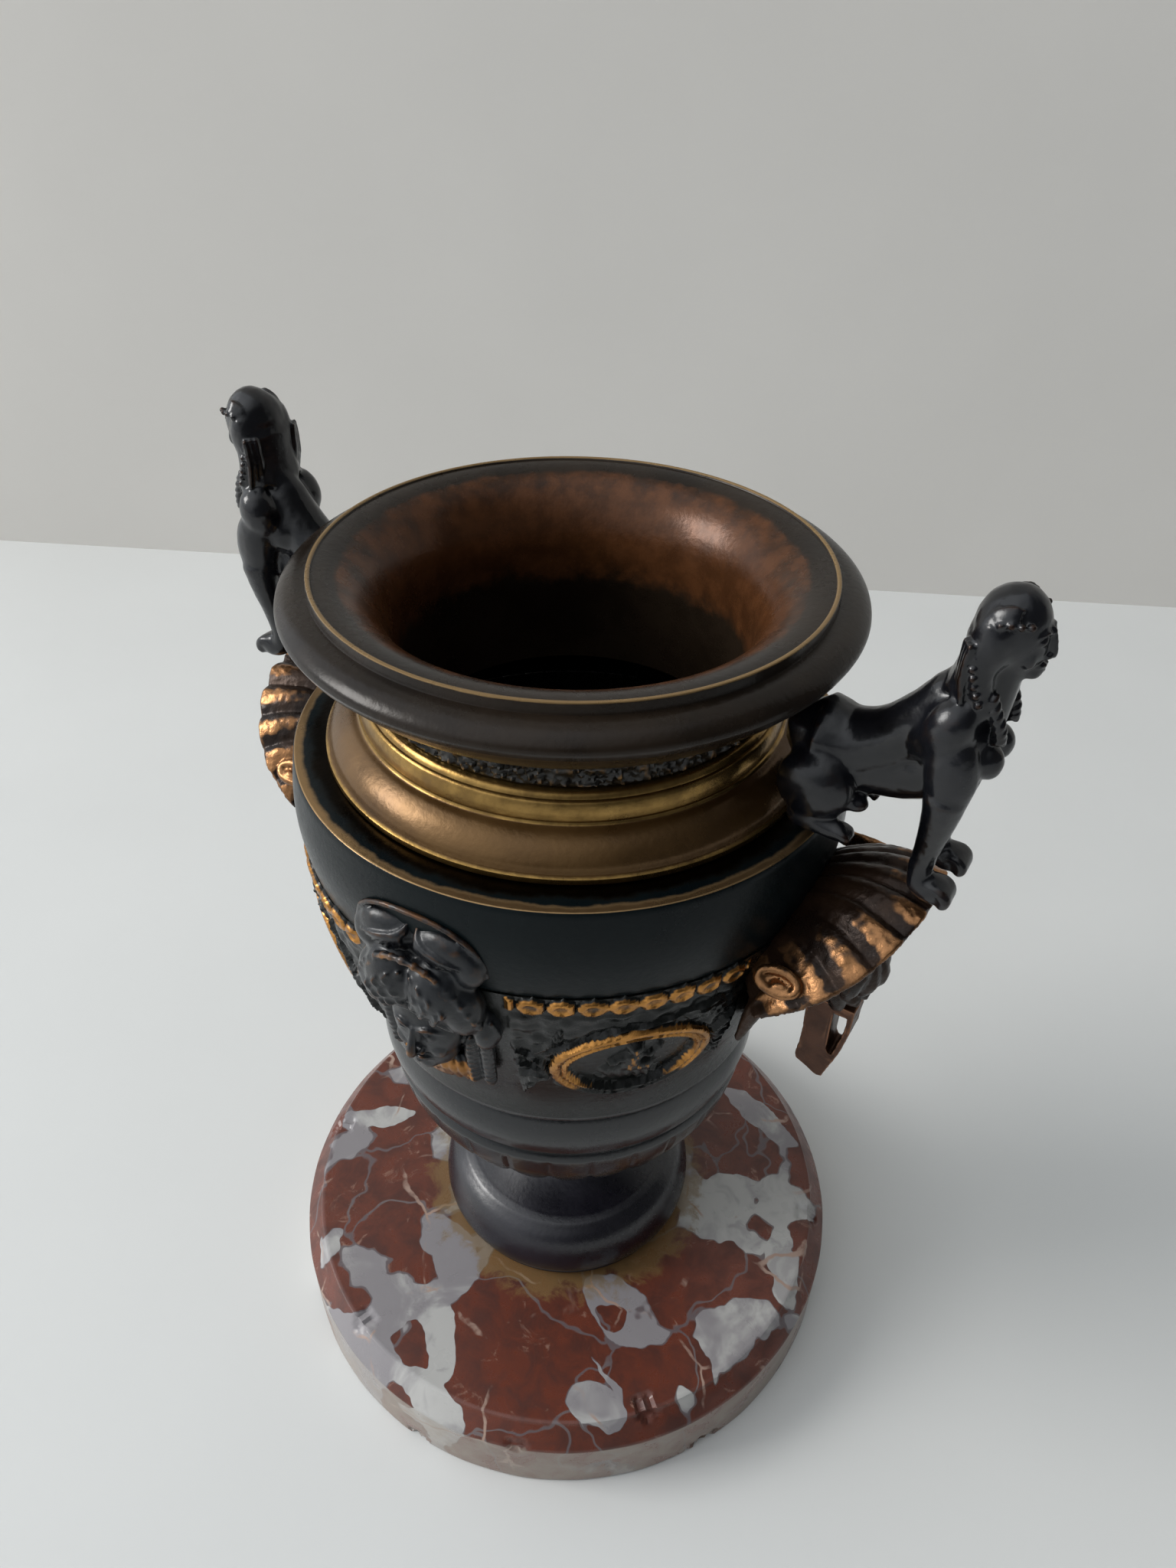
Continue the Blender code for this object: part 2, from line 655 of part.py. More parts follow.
def make_loop_mesh():
    """A small bar loop with a pointed foot, cut from one outline."""
    left = drum_radius + loop_from_drum
    right = left + loop_width
    top = loop_top() - gap
    low = top - loop_length
    outer = [(left, top), (left, low + 2.4 * mm), (left + loop_width * 0.5, low),
             (right - 1.0 * mm, low + 6.6 * mm),
             (right, top)]
    inner = [(left + loop_in_bar, top - 2.6 * mm), (left + loop_in_bar, low + 6.2 * mm),
             (left + loop_in_bar + 1.6 * mm, low + 5.4 * mm),
             (right - loop_out_bar - 0.7 * mm, low + 8.4 * mm),
             (right - loop_out_bar, top - 2.6 * mm)]
    shape = bmesh.new()
    near = [shape.verts.new((x, -loop_depth / 2, z)) for x, z in outer]
    near_in = [shape.verts.new((x, -loop_depth / 2, z)) for x, z in inner]
    far = [shape.verts.new((x, loop_depth / 2, z)) for x, z in outer]
    far_in = [shape.verts.new((x, loop_depth / 2, z)) for x, z in inner]
    count = len(outer)
    for i in range(count):
        j = (i + 1) % count
        shape.faces.new((near[i], near[j], near_in[j], near_in[i]))
        shape.faces.new((far[i], far_in[i], far_in[j], far[j]))
        shape.faces.new((near[i], far[i], far[j], near[j]))
        shape.faces.new((near_in[i], near_in[j], far_in[j], far_in[i]))
    bmesh.ops.recalc_face_normals(shape, faces=shape.faces)
    mesh = bpy.data.meshes.new("loop")
    shape.to_mesh(mesh)
    shape.free()
    return mesh


def figure_shape():
    """The sphinx of the right handle, in shares of its height from the paws to the crown."""
    shape = bmesh.new()
    unit = figure_height / 54.2
    floor = shell_crest + gap
    start = drum_radius

    def at(x, y, z):
        return (start + (x - 49.1) * unit, y * unit, floor + (z - 150.5) * unit)

    def ball(x, y, z, rx, ry, rz):
        add_ball(shape, at(x, y, z), (rx * unit, ry * unit, rz * unit))

    def limb(x0, y0, z0, r0, x1, y1, z1, r1, flat=1.0):
        add_limb(shape, at(x0, y0, z0), r0 * unit, at(x1, y1, z1), r1 * unit, flat)

    ball(68.2, 0, 198.2, 5.3, 5.0, 6.2)
    ball(71.4, 0, 196.6, 3.0, 3.8, 5.2)
    limb(73.6, 0, 198.0, 0.7, 74.6, 0, 196.0, 0.85)
    ball(72.6, 0, 192.6, 1.6, 2.0, 1.5)
    ball(65.6, 0, 197.4, 4.2, 6.3, 6.4)
    limb(64.8, 0, 194.5, 3.6, 64.4, 0, 189.5, 2.6, 1.6)
    limb(66.8, 0, 193.0, 3.3, 66.2, 0, 185.0, 3.9)
    for side in (-1, 1):
        limb(67.2, side * 5.4, 197.6, 1.8, 67.4, side * 5.2, 191.0, 1.5)
        limb(67.4, side * 5.2, 191.0, 1.5, 69.8, side * 4.4, 185.6, 1.2)
        ball(65.2, side * 4.8, 181.8, 4.0, 3.9, 4.4)
        ball(66.6, side * 5.8, 175.0, 3.7, 2.8, 5.0)
        ball(70.0, side * 3.3, 176.8, 3.0, 3.0, 3.3)
        limb(66.8, side * 5.1, 173.0, 3.0, 66.7, side * 4.7, 165.5, 2.1)
        limb(66.7, side * 4.7, 165.5, 2.1, 66.2, side * 4.4, 160.0, 1.75)
        limb(66.2, side * 4.4, 160.0, 1.75, 66.5, side * 4.5, 153.4, 1.8)
        limb(66.8, side * 4.5, 152.4, 2.2, 69.6, side * 4.5, 152.0, 2.1, 1.2)
        ball(46.6, side * 5.6, 166.6, 6.6, 3.9, 6.8)
        limb(47.5, side * 6.2, 163.0, 3.4, 52.6, side * 6.2, 163.6, 2.3)
        limb(46.8, side * 6.2, 159.8, 2.4, 52.8, side * 6.2, 159.6, 2.0, 1.1)
    ball(66.8, 0, 178.4, 5.4, 6.6, 6.6)
    limb(64.0, 0, 180.4, 6.2, 56.0, 0, 174.2, 5.9, 0.95)
    limb(64.0, 0, 174.8, 5.8, 55.0, 0, 171.4, 5.9, 0.95)
    limb(56.0, 0, 172.6, 6.2, 46.0, 0, 172.4, 6.9, 0.95)
    return shape


def handle_sphinx_mesh():
    return thin_out(skin_over("sphinx", figure_shape(), 0.55 * mm, 2), sphinx_triangles)


def mask_shape():
    """The mask that faces -Y, in shares of its own height and half width."""
    shape = bmesh.new()
    tall = mask_height / 46.0
    wide = mask_half_width / 15.5
    top = ledge_level - 2.4 * mm
    face = drum_radius

    def at(x, out, down):
        return (x * wide, -(face + out * mm), top - down * tall)

    def ball(x, out, down, rx, ro, rz):
        add_ball(shape, at(x, out, down), (rx * wide, ro * mm, rz * tall))

    def limb(x0, out0, down0, r0, x1, out1, down1, r1):
        add_limb(shape, at(x0, out0, down0), r0 * mm, at(x1, out1, down1), r1 * mm)

    for side in (-1, 1):
        ball(side * 5.6, 1.2, 5.4, 7.2, 3.4, 5.2)
        ball(side * 11.4, 0.2, 8.6, 4.6, 3.0, 5.4)
        ball(side * 5.6, 2.6, 16.0, 6.6, 4.2, 6.6)
        ball(side * 10.6, 0.8, 20.6, 4.2, 3.6, 6.8)
        ball(side * 13.0, -1.4, 24.6, 2.8, 3.2, 6.4)
        limb(side * 12.6, -2.6, 29.0, 2.4, side * 11.6, -5.0, 42.0, 2.2)
        limb(side * 9.0, -2.0, 29.0, 2.2, side * 8.8, -4.6, 42.0, 2.0)
        ball(side * 3.8, 0.6, 31.0, 3.2, 3.2, 4.2)
    steps = 8
    for k in range(steps):
        a = radians(-80 + 160 * k / steps)
        b = radians(-80 + 160 * (k + 1) / steps)
        limb(13.2 * sin(a), 4.4 * cos(a) - 0.2, 20.0 - 10.4 * cos(a), 1.5, 13.2 * sin(b), 4.4 * cos(b) - 0.2,
             20.0 - 10.4 * cos(b), 1.5)
    ball(0, 0.0, 27.0, 7.4, 4.4, 10.0)
    ball(0, -0.6, 34.0, 6.0, 4.2, 8.6)
    limb(0, 3.2, 28.0, 0.9, 0, 4.3, 33.4, 1.5)
    ball(0, 1.6, 40.6, 2.6, 1.8, 2.2)
    limb(0, -4.0, 41.0, 4.6, 0, -5.4, 44.0, 4.4)
    return shape


def mask_mesh():
    return thin_out(skin_over("mask", mask_shape(), 0.6 * mm, 1), mask_triangles)


def place_pair(names, mesh, material, cutters, set_round=0.0):
    """The same casting twice, the second turned half round the vase."""
    for name, turn in zip(names, (0.0, pi)):
        item = make_object(name, mesh.copy(), material)
        item.rotation_euler = (0.0, 0.0, turn + radians(set_round))
        cut_with(item, cutters)


def flat_cutter(name, low_x, floor, material):
    """Boxes on both sides of the vase, from low_x outwards, that trim a piece flat along a level."""
    shape = bmesh.new()
    reach = 40.0 * mm
    for side in (1, -1):
        middle = (side * (low_x + reach / 2), 0.0, floor - reach / 2)
        place = Matrix.Translation(middle) @ Matrix.Scale(reach, 4)
        bmesh.ops.create_cube(shape, size=1.0, matrix=place)
    mesh = bpy.data.meshes.new(name)
    shape.to_mesh(mesh)
    shape.free()
    return make_cutter(name, mesh, material)


clear_scene()
materials = {
    "marble": make_material("marble", (0.42, 0.17, 0.13), 0.35, 0.0),
    "foot": make_material("foot", (0.05, 0.045, 0.06), 0.35, 0.8),
    "bronze": make_material("bronze", (0.05, 0.06, 0.06), 0.4, 0.8),
    "drum": make_material("drum", (0.02, 0.03, 0.035), 0.4, 0.6),
    "gold": make_material("gold", (0.45, 0.30, 0.11), 0.35, 0.9),
    "rim": make_material("rim", (0.16, 0.11, 0.08), 0.35, 0.85),
    "copper": make_material("copper", (0.36, 0.19, 0.09), 0.4, 0.85),
    "black": make_material("black", (0.015, 0.016, 0.02), 0.25, 0.6),
}
make_marble(materials["marble"])
make_turned_pieces(materials)
vase_body = vase_cutter(materials["drum"])
loop_room = flat_cutter("loop_room", drum_radius + loop_from_drum - gap, loop_top(), materials["drum"])
paw_floor = flat_cutter("paw_floor", drum_middle_radius + 9.0 * mm, shell_crest + gap, materials["drum"])
place_pair(("mask_front", "mask_back"), mask_mesh(), materials["black"], [vase_body], mask_turn)
place_pair(("shell_right", "shell_left"), handle_shell_mesh(), materials["copper"], [vase_body, loop_room])
place_pair(("loop_right", "loop_left"), make_loop_mesh(), materials["copper"], [])
place_pair(("sphinx_right", "sphinx_left"), handle_sphinx_mesh(), materials["black"], [vase_body, paw_floor])
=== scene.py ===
from math import cos, pi, radians, sin
import bmesh
import bpy
import numpy as np
from mathutils import Matrix, Vector, noise


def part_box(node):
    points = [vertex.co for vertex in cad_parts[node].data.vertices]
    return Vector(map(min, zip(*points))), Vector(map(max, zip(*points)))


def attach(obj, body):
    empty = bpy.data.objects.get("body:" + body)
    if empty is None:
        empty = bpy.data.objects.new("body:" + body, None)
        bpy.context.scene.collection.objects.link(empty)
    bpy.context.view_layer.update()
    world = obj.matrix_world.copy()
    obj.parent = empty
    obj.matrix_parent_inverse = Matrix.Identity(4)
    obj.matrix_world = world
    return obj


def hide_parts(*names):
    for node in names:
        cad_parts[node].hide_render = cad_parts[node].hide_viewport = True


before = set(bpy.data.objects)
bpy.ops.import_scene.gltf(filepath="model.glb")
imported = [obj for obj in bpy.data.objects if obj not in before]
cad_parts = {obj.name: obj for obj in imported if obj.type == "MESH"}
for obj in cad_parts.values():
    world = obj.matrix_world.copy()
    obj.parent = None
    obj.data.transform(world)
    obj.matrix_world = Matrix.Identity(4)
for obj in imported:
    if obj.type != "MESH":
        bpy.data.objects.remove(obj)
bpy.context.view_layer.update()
mm = 0.001


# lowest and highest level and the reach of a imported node, in mm
def boxOf(node):
    low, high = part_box(node)
    return {"low": low.z / mm, "high": high.z / mm, "reach": high.x / mm}


base, foot, bowl = boxOf("marble_base"), boxOf("foot"), boxOf("bowl")
frieze, drum, shoulder = boxOf("frieze"), boxOf("drum"), boxOf("shoulder")
neck, rim = boxOf("neck"), boxOf("rim")
ledge = drum["high"]
shellCrest = ledge - 6.8              # top of the shells' ribs
drumWall, friezeFoot = 49.1, 40.2     # outer radius of the drum and of the frieze's lower edge
axisGap = 1 / 3                       # radius at which the turned outlines start and end
print("frame loaded")


# shapes

# a smooth run through key points, with so many steps between each two
def smoothRun(points, steps=6):
    keys = [np.array(p, float) for p in points]
    keys = [2 * keys[0] - keys[1]] + keys + [2 * keys[-1] - keys[-2]]
    run = []
    for a, b, c, d in zip(keys, keys[1:], keys[2:], keys[3:]):
        for k in range(steps):
            t = k / steps
            run.append(0.5 * (2 * b + (c - a) * t + (2 * a - 5 * b + 4 * c - d) * t * t
                              + (3 * b - a - 3 * c + d) * t ** 3))
    run.append(keys[-2])
    return [tuple(p) for p in run]


# points counted from a corner of an outline
def fromCorner(cornerR, cornerZ, points):
    return [(cornerR + r, cornerZ + z) for r, z in points]


# turns a closed (r, z) outline in mm round the axis; lift and paint take arrays of angle, r and z
def turned(name, outline, columns=256, lift=None, paint=None):
    line = np.array(outline, float)
    angle = np.arange(columns) * 2 * pi / columns
    r = np.repeat(line[:, :1], columns, 1)
    z = np.repeat(line[:, 1:], columns, 1)
    a = np.repeat(angle[None], len(line), 0)
    ahead, behind = np.roll(line, -1, 0), np.roll(line, 1, 0)
    run = ahead - behind
    run /= np.maximum(np.hypot(run[:, 0], run[:, 1]), 1e-6)[:, None]
    if lift:
        amount = lift(a, r, z)
        r, z = r + amount * run[:, 1:], z - amount * run[:, :1]
    points = np.stack([r * np.cos(a), r * np.sin(a), z], -1).reshape(-1, 3) * mm
    rows = len(line)
    k, i = np.meshgrid(np.arange(rows - 1), np.arange(columns), indexing="ij")
    j = (i + 1) % columns
    quads = np.stack([k * columns + i, k * columns + j, (k + 1) * columns + j, (k + 1) * columns + i],
                     -1).reshape(-1, 4)
    faces = quads.tolist()
    if line[0, 0] < 1 and line[-1, 0] < 1:
        faces.append(list(range(columns))[::-1])
        faces.append([(rows - 1) * columns + n for n in range(columns)])
    else:
        last = (rows - 1) * columns
        faces += [[last + n, last + (n + 1) % columns, (n + 1) % columns, n] for n in range(columns)]
    piece = meshPiece(name, points, faces)
    if paint:
        for label, values in paint(a, r, z).items():
            addLayer(piece, label, np.broadcast_to(values, a.shape).ravel())
    return piece


def meshPiece(name, points, faces):
    mesh = bpy.data.meshes.new(name)
    mesh.from_pydata(points, [], faces)
    mesh.update()
    mesh.shade_smooth()
    mesh.set_sharp_from_angle(angle=radians(42))
    piece = bpy.data.objects.new(name, mesh)
    bpy.context.scene.collection.objects.link(piece)
    return piece


# a painted layer of 0 to 1 that a finish reads
def addLayer(piece, label, values):
    layer = piece.data.attributes.new(label, "FLOAT", "POINT")
    layer.data.foreach_set("value", np.clip(values, 0, 1).astype(np.float32))


def pointsOf(mesh):
    co = np.zeros(len(mesh.vertices) * 3)
    mesh.vertices.foreach_get("co", co)
    return co.reshape(-1, 3)


# soft noise at each point, scale in mm per bump
def noiseAt(points, scale, seed=0.0):
    shift = Vector((seed, seed * 1.7, seed * 0.3))
    return np.array([noise.noise(Vector(p) / scale + shift) for p in points])


def step(edge0, edge1, x):
    t = np.clip((x - edge0) / (edge1 - edge0), 0, 1)
    return t * t * (3 - 2 * t)


# forms for the cast figures, all in mm, melted into one skin afterwards
def addBall(shape, centre, radii, turn=0.0, detail=3):
    size = Matrix.Diagonal((*radii, 1.0))
    place = Matrix.Translation(centre) @ Matrix.Rotation(radians(turn), 4, "Y") @ size
    bmesh.ops.create_icosphere(shape, subdivisions=detail, radius=1.0, matrix=place)


# a round bar along a path whose thickness changes; flat below 1 makes it a strap
def addBar(shape, path, radii, sides=10, steps=6, flat=1.0, flatAxis=(0, 1, 0)):
    keys = smoothRun([tuple(p) + (radius,) for p, radius in zip(path, radii)], steps)
    line = [Vector(k[:3]) for k in keys]
    rings = []
    side = Vector(flatAxis)
    for n, (point, key) in enumerate(zip(line, keys)):
        ahead = (line[min(n + 1, len(line) - 1)] - line[max(n - 1, 0)]).normalized()
        side = (side - ahead * side.dot(ahead)).normalized()
        up = ahead.cross(side)
        ring = []
        for m in range(sides):
            a = 2 * pi * m / sides
            ring.append(shape.verts.new(point + (side * cos(a) * flat + up * sin(a)) * max(key[3], 0.05)))
        rings.append(ring)
    for lower, upper in zip(rings, rings[1:]):
        for m in range(sides):
            n = (m + 1) % sides
            shape.faces.new((lower[m], lower[n], upper[n], upper[m]))
    for ring, direction in ((rings[0], -1), (rings[-1], 1)):
        shape.faces.new(ring[::-1] if direction < 0 else ring)
    for key, point in ((keys[0], line[0]), (keys[-1], line[-1])):
        if flat == 1.0:
            addBall(shape, point, (max(key[3], 0.05) * 0.98,) * 3, detail=1)


# two strands wound round each other
def addTwist(shape, path, radius, turns, strand=0.6):
    keys = smoothRun(path, 14)
    line = [Vector(k) for k in keys]
    for start in (0.0, pi):
        strands = []
        for n, point in enumerate(line):
            ahead = (line[min(n + 1, len(line) - 1)] - line[max(n - 1, 0)]).normalized()
            side = ahead.cross(Vector((0, 1, 0.01))).normalized()
            up = ahead.cross(side)
            a = start + 2 * pi * turns * n / (len(line) - 1)
            strands.append(point + (side * cos(a) + up * sin(a)) * radius * 0.5)
        addBar(shape, strands, [radius * strand] * len(strands), sides=6, steps=1)


def beads(shape, path, radius, spacing, steps=20):
    keys = [Vector(k) for k in smoothRun(path, steps)]
    gone = spacing
    for a, b in zip(keys, keys[1:]):
        gone += (b - a).length
        if gone >= spacing:
            gone = 0.0
            addBall(shape, b, (radius,) * 3, detail=1)


# rows of balls (centre, half sizes, ...) and bars (path, radii, ...), with every point put in place first
def addForms(shape, place, rows):
    for points, radii, *rest in rows:
        if isinstance(points, list):
            addBar(shape, [place(*p) for p in points], radii, *rest)
        else:
            addBall(shape, place(*points), radii, *rest)


# melts overlapping forms, smooths them, thins the faces and gives back a bare mesh in mm
def melt(shape, voxel, rounds, keep=1.0):
    mesh = bpy.data.meshes.new("forms")
    shape.to_mesh(mesh)
    shape.free()
    carrier = bpy.data.objects.new("forms", mesh)
    bpy.context.scene.collection.objects.link(carrier)
    remesh = carrier.modifiers.new("Skin", "REMESH")
    remesh.mode = "VOXEL"
    remesh.voxel_size = voxel
    if rounds:
        soften = carrier.modifiers.new("Soften", "SMOOTH")
        soften.factor = 0.5
        soften.iterations = rounds
    if keep < 1:
        thin = carrier.modifiers.new("Thin", "DECIMATE")
        thin.ratio = keep
    graph = bpy.context.evaluated_depsgraph_get()
    skin = bpy.data.meshes.new_from_object(carrier.evaluated_get(graph))
    bpy.data.objects.remove(carrier)
    return skin


def wallRadius(z):
    line = np.array(vaseOutline, float)
    return np.interp(z, line[:, 1], line[:, 0])


# presses what lies deep in the vase's wall back to just under its surface
def seatOnWall(points, depth=0.7):
    r = np.hypot(points[:, 0], points[:, 1])
    least = wallRadius(points[:, 2]) - depth
    grow = np.where(r < least, least / np.maximum(r, 1e-3), 1.0)
    points[:, :2] *= grow[:, None]
    return points


# how far each point stands out from its neighbours, from 0 in a hollow to 1 on an edge
def proudness(mesh, points, rounds=2, gain=2.3):
    edges = np.zeros(len(mesh.edges) * 2, int)
    mesh.edges.foreach_get("vertices", edges)
    a, b = edges.reshape(-1, 2).T
    normals = np.zeros(len(points) * 3)
    mesh.vertices.foreach_get("normal", normals)
    normals = normals.reshape(-1, 3)
    count = np.bincount(a, minlength=len(points)) + np.bincount(b, minlength=len(points))
    mean = points.copy()
    for _ in range(rounds * 4):
        total = np.zeros_like(mean)
        np.add.at(total, a, mean[b])
        np.add.at(total, b, mean[a])
        mean = total / np.maximum(count, 1)[:, None]
    out = ((points - mean) * normals).sum(1)
    return np.clip(0.5 + out * gain, 0, 1)


def proudOf(piece):
    values = np.zeros(len(piece.data.vertices))
    piece.data.attributes["proud"].data.foreach_get("value", values)
    return values


# a cast piece from a melted mesh in mm, turned round the vase if it is a second one
def castPiece(name, skin, turn=0.0, seat=True, roughCast=0.06):
    points = pointsOf(skin)
    if seat:
        points = seatOnWall(points)
    normals = np.zeros(len(points) * 3)
    skin.vertices.foreach_get("normal", normals)
    points += normals.reshape(-1, 3) * (noiseAt(points, 1.3) * roughCast)[:, None]
    proud = proudness(skin, points)
    c, s = cos(turn), sin(turn)
    turnedPoints = points.copy()
    turnedPoints[:, 0] = c * points[:, 0] - s * points[:, 1]
    turnedPoints[:, 1] = s * points[:, 0] + c * points[:, 1]
    mesh = skin.copy()
    mesh.name = name
    mesh.vertices.foreach_set("co", (turnedPoints * mm).ravel())
    mesh.update()
    mesh.shade_smooth()
    piece = bpy.data.objects.new(name, mesh)
    bpy.context.scene.collection.objects.link(piece)
    addLayer(piece, "proud", proud)
    return piece, points


# finishes

def nodeFor(tree, kind, **sockets):
    node = tree.nodes.new(kind)
    for label, value in sockets.items():
        node.inputs[label.replace("_", " ")].default_value = value
    return node


def noiseNode(tree, coords, scale, detail=4.0, roughness=0.55, distortion=0.0):
    node = nodeFor(tree, "ShaderNodeTexNoise", Scale=scale, Detail=detail, Roughness=roughness,
                   Distortion=distortion)
    tree.links.new(coords, node.inputs["Vector"])
    return node.outputs["Fac"]


# a smooth switch between two values of a factor
def ramp(tree, source, low, high, fromValue=0.0, toValue=1.0):
    node = tree.nodes.new("ShaderNodeMapRange")
    node.interpolation_type = "SMOOTHSTEP"
    for label, value in (("From Min", low), ("From Max", high), ("To Min", fromValue), ("To Max", toValue)):
        node.inputs[label].default_value = value
    tree.links.new(source, node.inputs["Value"])
    return node.outputs["Result"]


def mixColour(tree, factor, a, b):
    node = tree.nodes.new("ShaderNodeMix")
    node.data_type = "RGBA"
    tree.links.new(factor, node.inputs["Factor"])
    for value, label in ((a, "A"), (b, "B")):
        socket = [s for s in node.inputs if s.name == label and s.type == "RGBA"][0]
        if isinstance(value, tuple):
            socket.default_value = (*value, 1.0)
        else:
            tree.links.new(value, socket)
    return [s for s in node.outputs if s.type == "RGBA"][0]


def maths(tree, kind, a, b):
    node = tree.nodes.new("ShaderNodeMath")
    node.operation = kind
    for n, value in enumerate((a, b)):
        if isinstance(value, (int, float)):
            node.inputs[n].default_value = value
        else:
            tree.links.new(value, node.inputs[n])
    return node.outputs[0]


# noise swinging about 0
def swing(tree, source, size):
    return maths(tree, "MULTIPLY", maths(tree, "SUBTRACT", source, 0.5), size)


def layer(tree, label):
    node = tree.nodes.new("ShaderNodeAttribute")
    node.attribute_name = label
    return node.outputs["Fac"]


def newFinish(name):
    finish = bpy.data.materials.new(name)
    finish.use_nodes = True
    tree = finish.node_tree
    coords = tree.nodes.new("ShaderNodeTexCoord").outputs["Object"]
    return finish, tree, tree.nodes["Principled BSDF"], coords


def bump(tree, shader, height, strength, distance):
    node = tree.nodes.new("ShaderNodeBump")
    node.inputs["Strength"].default_value = strength
    node.inputs["Distance"].default_value = distance
    tree.links.new(height, node.inputs["Height"])
    tree.links.new(node.outputs["Normal"], shader.inputs["Normal"])


# patinated bronze: two dark tones in clouds, worn metal on proud places, gilding where it is painted
def bronzeFinish(name, deep, body, worn, gilt, wear=(0.62, 0.85), rough=0.36, metal=0.35, cloud=45.0,
                 grain=0.12, shine=0.3, paintMetal=0.95):
    finish, tree, shader, coords = newFinish(name)
    clouds = noiseNode(tree, coords, cloud, 5.0, 0.6)
    fine = noiseNode(tree, coords, 900.0, 3.0)
    patches = noiseNode(tree, coords, 220.0, 4.0, 0.6)
    colour = mixColour(tree, ramp(tree, clouds, 0.35, 0.65), deep, body)
    proud = maths(tree, "ADD", layer(tree, "proud"), swing(tree, patches, 0.35))
    wornMask = ramp(tree, proud, *wear)
    colour = mixColour(tree, wornMask, colour, worn)
    gilded = maths(tree, "ADD", layer(tree, "gilt"), swing(tree, patches, 0.7))
    giltMask = ramp(tree, gilded, 0.35, 0.75)
    tone = mixColour(tree, ramp(tree, patches, 0.35, 0.7), tuple(0.62 * c for c in gilt), gilt)
    colour = mixColour(tree, giltMask, colour, tone)
    tree.links.new(colour, shader.inputs["Base Color"])
    roughness = maths(tree, "ADD", ramp(tree, clouds, 0.3, 0.7, rough - 0.05, rough + 0.07),
                      swing(tree, fine, 0.12))
    tree.links.new(roughness, shader.inputs["Roughness"])
    metalMask = maths(tree, "MAXIMUM", giltMask, maths(tree, "MULTIPLY", wornMask, 0.8))
    tree.links.new(ramp(tree, metalMask, 0.0, 1.0, metal, paintMetal), shader.inputs["Metallic"])
    shader.inputs["Specular IOR Level"].default_value = shine
    bump(tree, shader, fine, grain, 0.0004)
    return finish


# every shown piece rides on the part and stands for its node
def finishPiece(piece, finish, node):
    piece.data.materials.clear()
    piece.data.materials.append(finish)
    for label in ("proud", "gilt"):
        if label not in piece.data.attributes:
            addLayer(piece, label, np.zeros(len(piece.data.vertices)))
    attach(piece, "root")
    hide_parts(node)


# marble base
marble = {
    "edge": 0.7,
    "bevelWidth": 4.0,
    "bevelDrop": 5.0,
    # angle in degrees, level, width and depth of each chip
    "chips": [(199, 18.6, 3.2, 0.9), (236, 0.6, 5.0, 1.1), (252, 18.9, 2.2, 0.7), (271, 1.0, 3.0, 0.9),
              (292, 14.8, 2.4, 0.7), (318, 18.8, 2.6, 0.8), (330, 1.2, 4.0, 1.0), (20, 18.8, 3.0, 0.8),
              (95, 15.0, 3.4, 0.9)],
    "red": (0.135, 0.036, 0.021),
    "darkRed": (0.070, 0.021, 0.014),
    "white": (0.44, 0.435, 0.42),
    "lilac": (0.24, 0.225, 0.235),
    "line": (0.10, 0.075, 0.08),
    "stain": (0.20, 0.13, 0.05),
    "side": (0.36, 0.31, 0.26),
    # x, y, half length, half width and turn of each patch on the top; above 0 it is red, below 0 pale
    "patches": [
        (15, -44, 17, 15, -56, 0.9), (-7, -55, 6.5, 3.6, -32, 0.7), (32, 28, 12, 9.4, -8, 0.9),
        (37, -35, 6, 3.6, 14, 0.7), (28.3, -27.7, 3.0, 2.7, 0, 0.9), (50, -28, 5.6, 4.0, -56, 0.7),
        (36, 47, 14, 4.5, -29, 0.6), (48, -3, 8.6, 5.2, 15, 0.6), (-34, -28, 17, 13, -60, 0.35),
        (-45, 25, 14, 14, 0, 0.3), (-20, -48, 12, 4, 58, 0.3), (0, 50, 20, 12, 0, 0.25),
        (43, 12, 14, 10.5, 32, -0.9), (58, 6, 8.2, 4, -67, -0.9), (54, -15, 9.2, 6.8, 51, -0.8),
        (31, -25, 11, 7.4, -9, -0.7), (-1, -52, 7.4, 3.7, -56, -0.9), (-10, -47, 9, 2.6, 58, -0.9),
        (-12.5, -53, 5.7, 2.3, -82, -0.7), (34.6, -45.5, 7.5, 3.6, 11, -0.8), (30, -37, 9.6, 1.2, -22, -0.7),
        (-50, -12.5, 9.6, 2.7, 38, -0.9), (-37, -47, 5.2, 2.6, 88, -0.9), (-15.5, -33, 8.5, 4.6, -20, -0.6),
        (35.5, 40.6, 12, 3.0, -15, -0.8), (4, -62, 8, 3, -1, -0.8), (-18, -60, 11, 3, -4, -0.7),
    ],
    # the same for the greys among the pale patches: above 0 whiter, below 0 greyer
    "greys": [
        (31, -25, 13, 9, -9, -0.9), (-15.5, -33, 9, 6, -20, -0.7), (-18, -60, 11, 3, -4, -0.4),
        (43, 12, 14, 12, 32, 0.7), (58, 6, 9, 5, -67, 0.9), (54, -15, 9, 7, 51, 0.4),
        (-1, -52, 9, 5, -56, 0.7), (-50, -12.5, 9, 4, 38, 0.5),
    ],
}


def marbleLift(a, r, z):
    push = np.zeros_like(a)
    for degrees, level, width, depth in marble["chips"]:
        along = (np.degrees(a) - degrees + 180) % 360 - 180
        along = np.radians(along) * base["reach"]
        far = np.hypot(along / width, (z - level) / (width * 0.6)) + 0.35 * np.sin(along * 2.1 + z * 1.7)
        push -= depth * step(1.0, 0.55, far) * (r > base["reach"] - 7)
    wave = 0.05 * np.sin(a * 23) * np.sin(a * 7 + z) * (r > base["reach"] - 6)
    return push + wave - 0.06


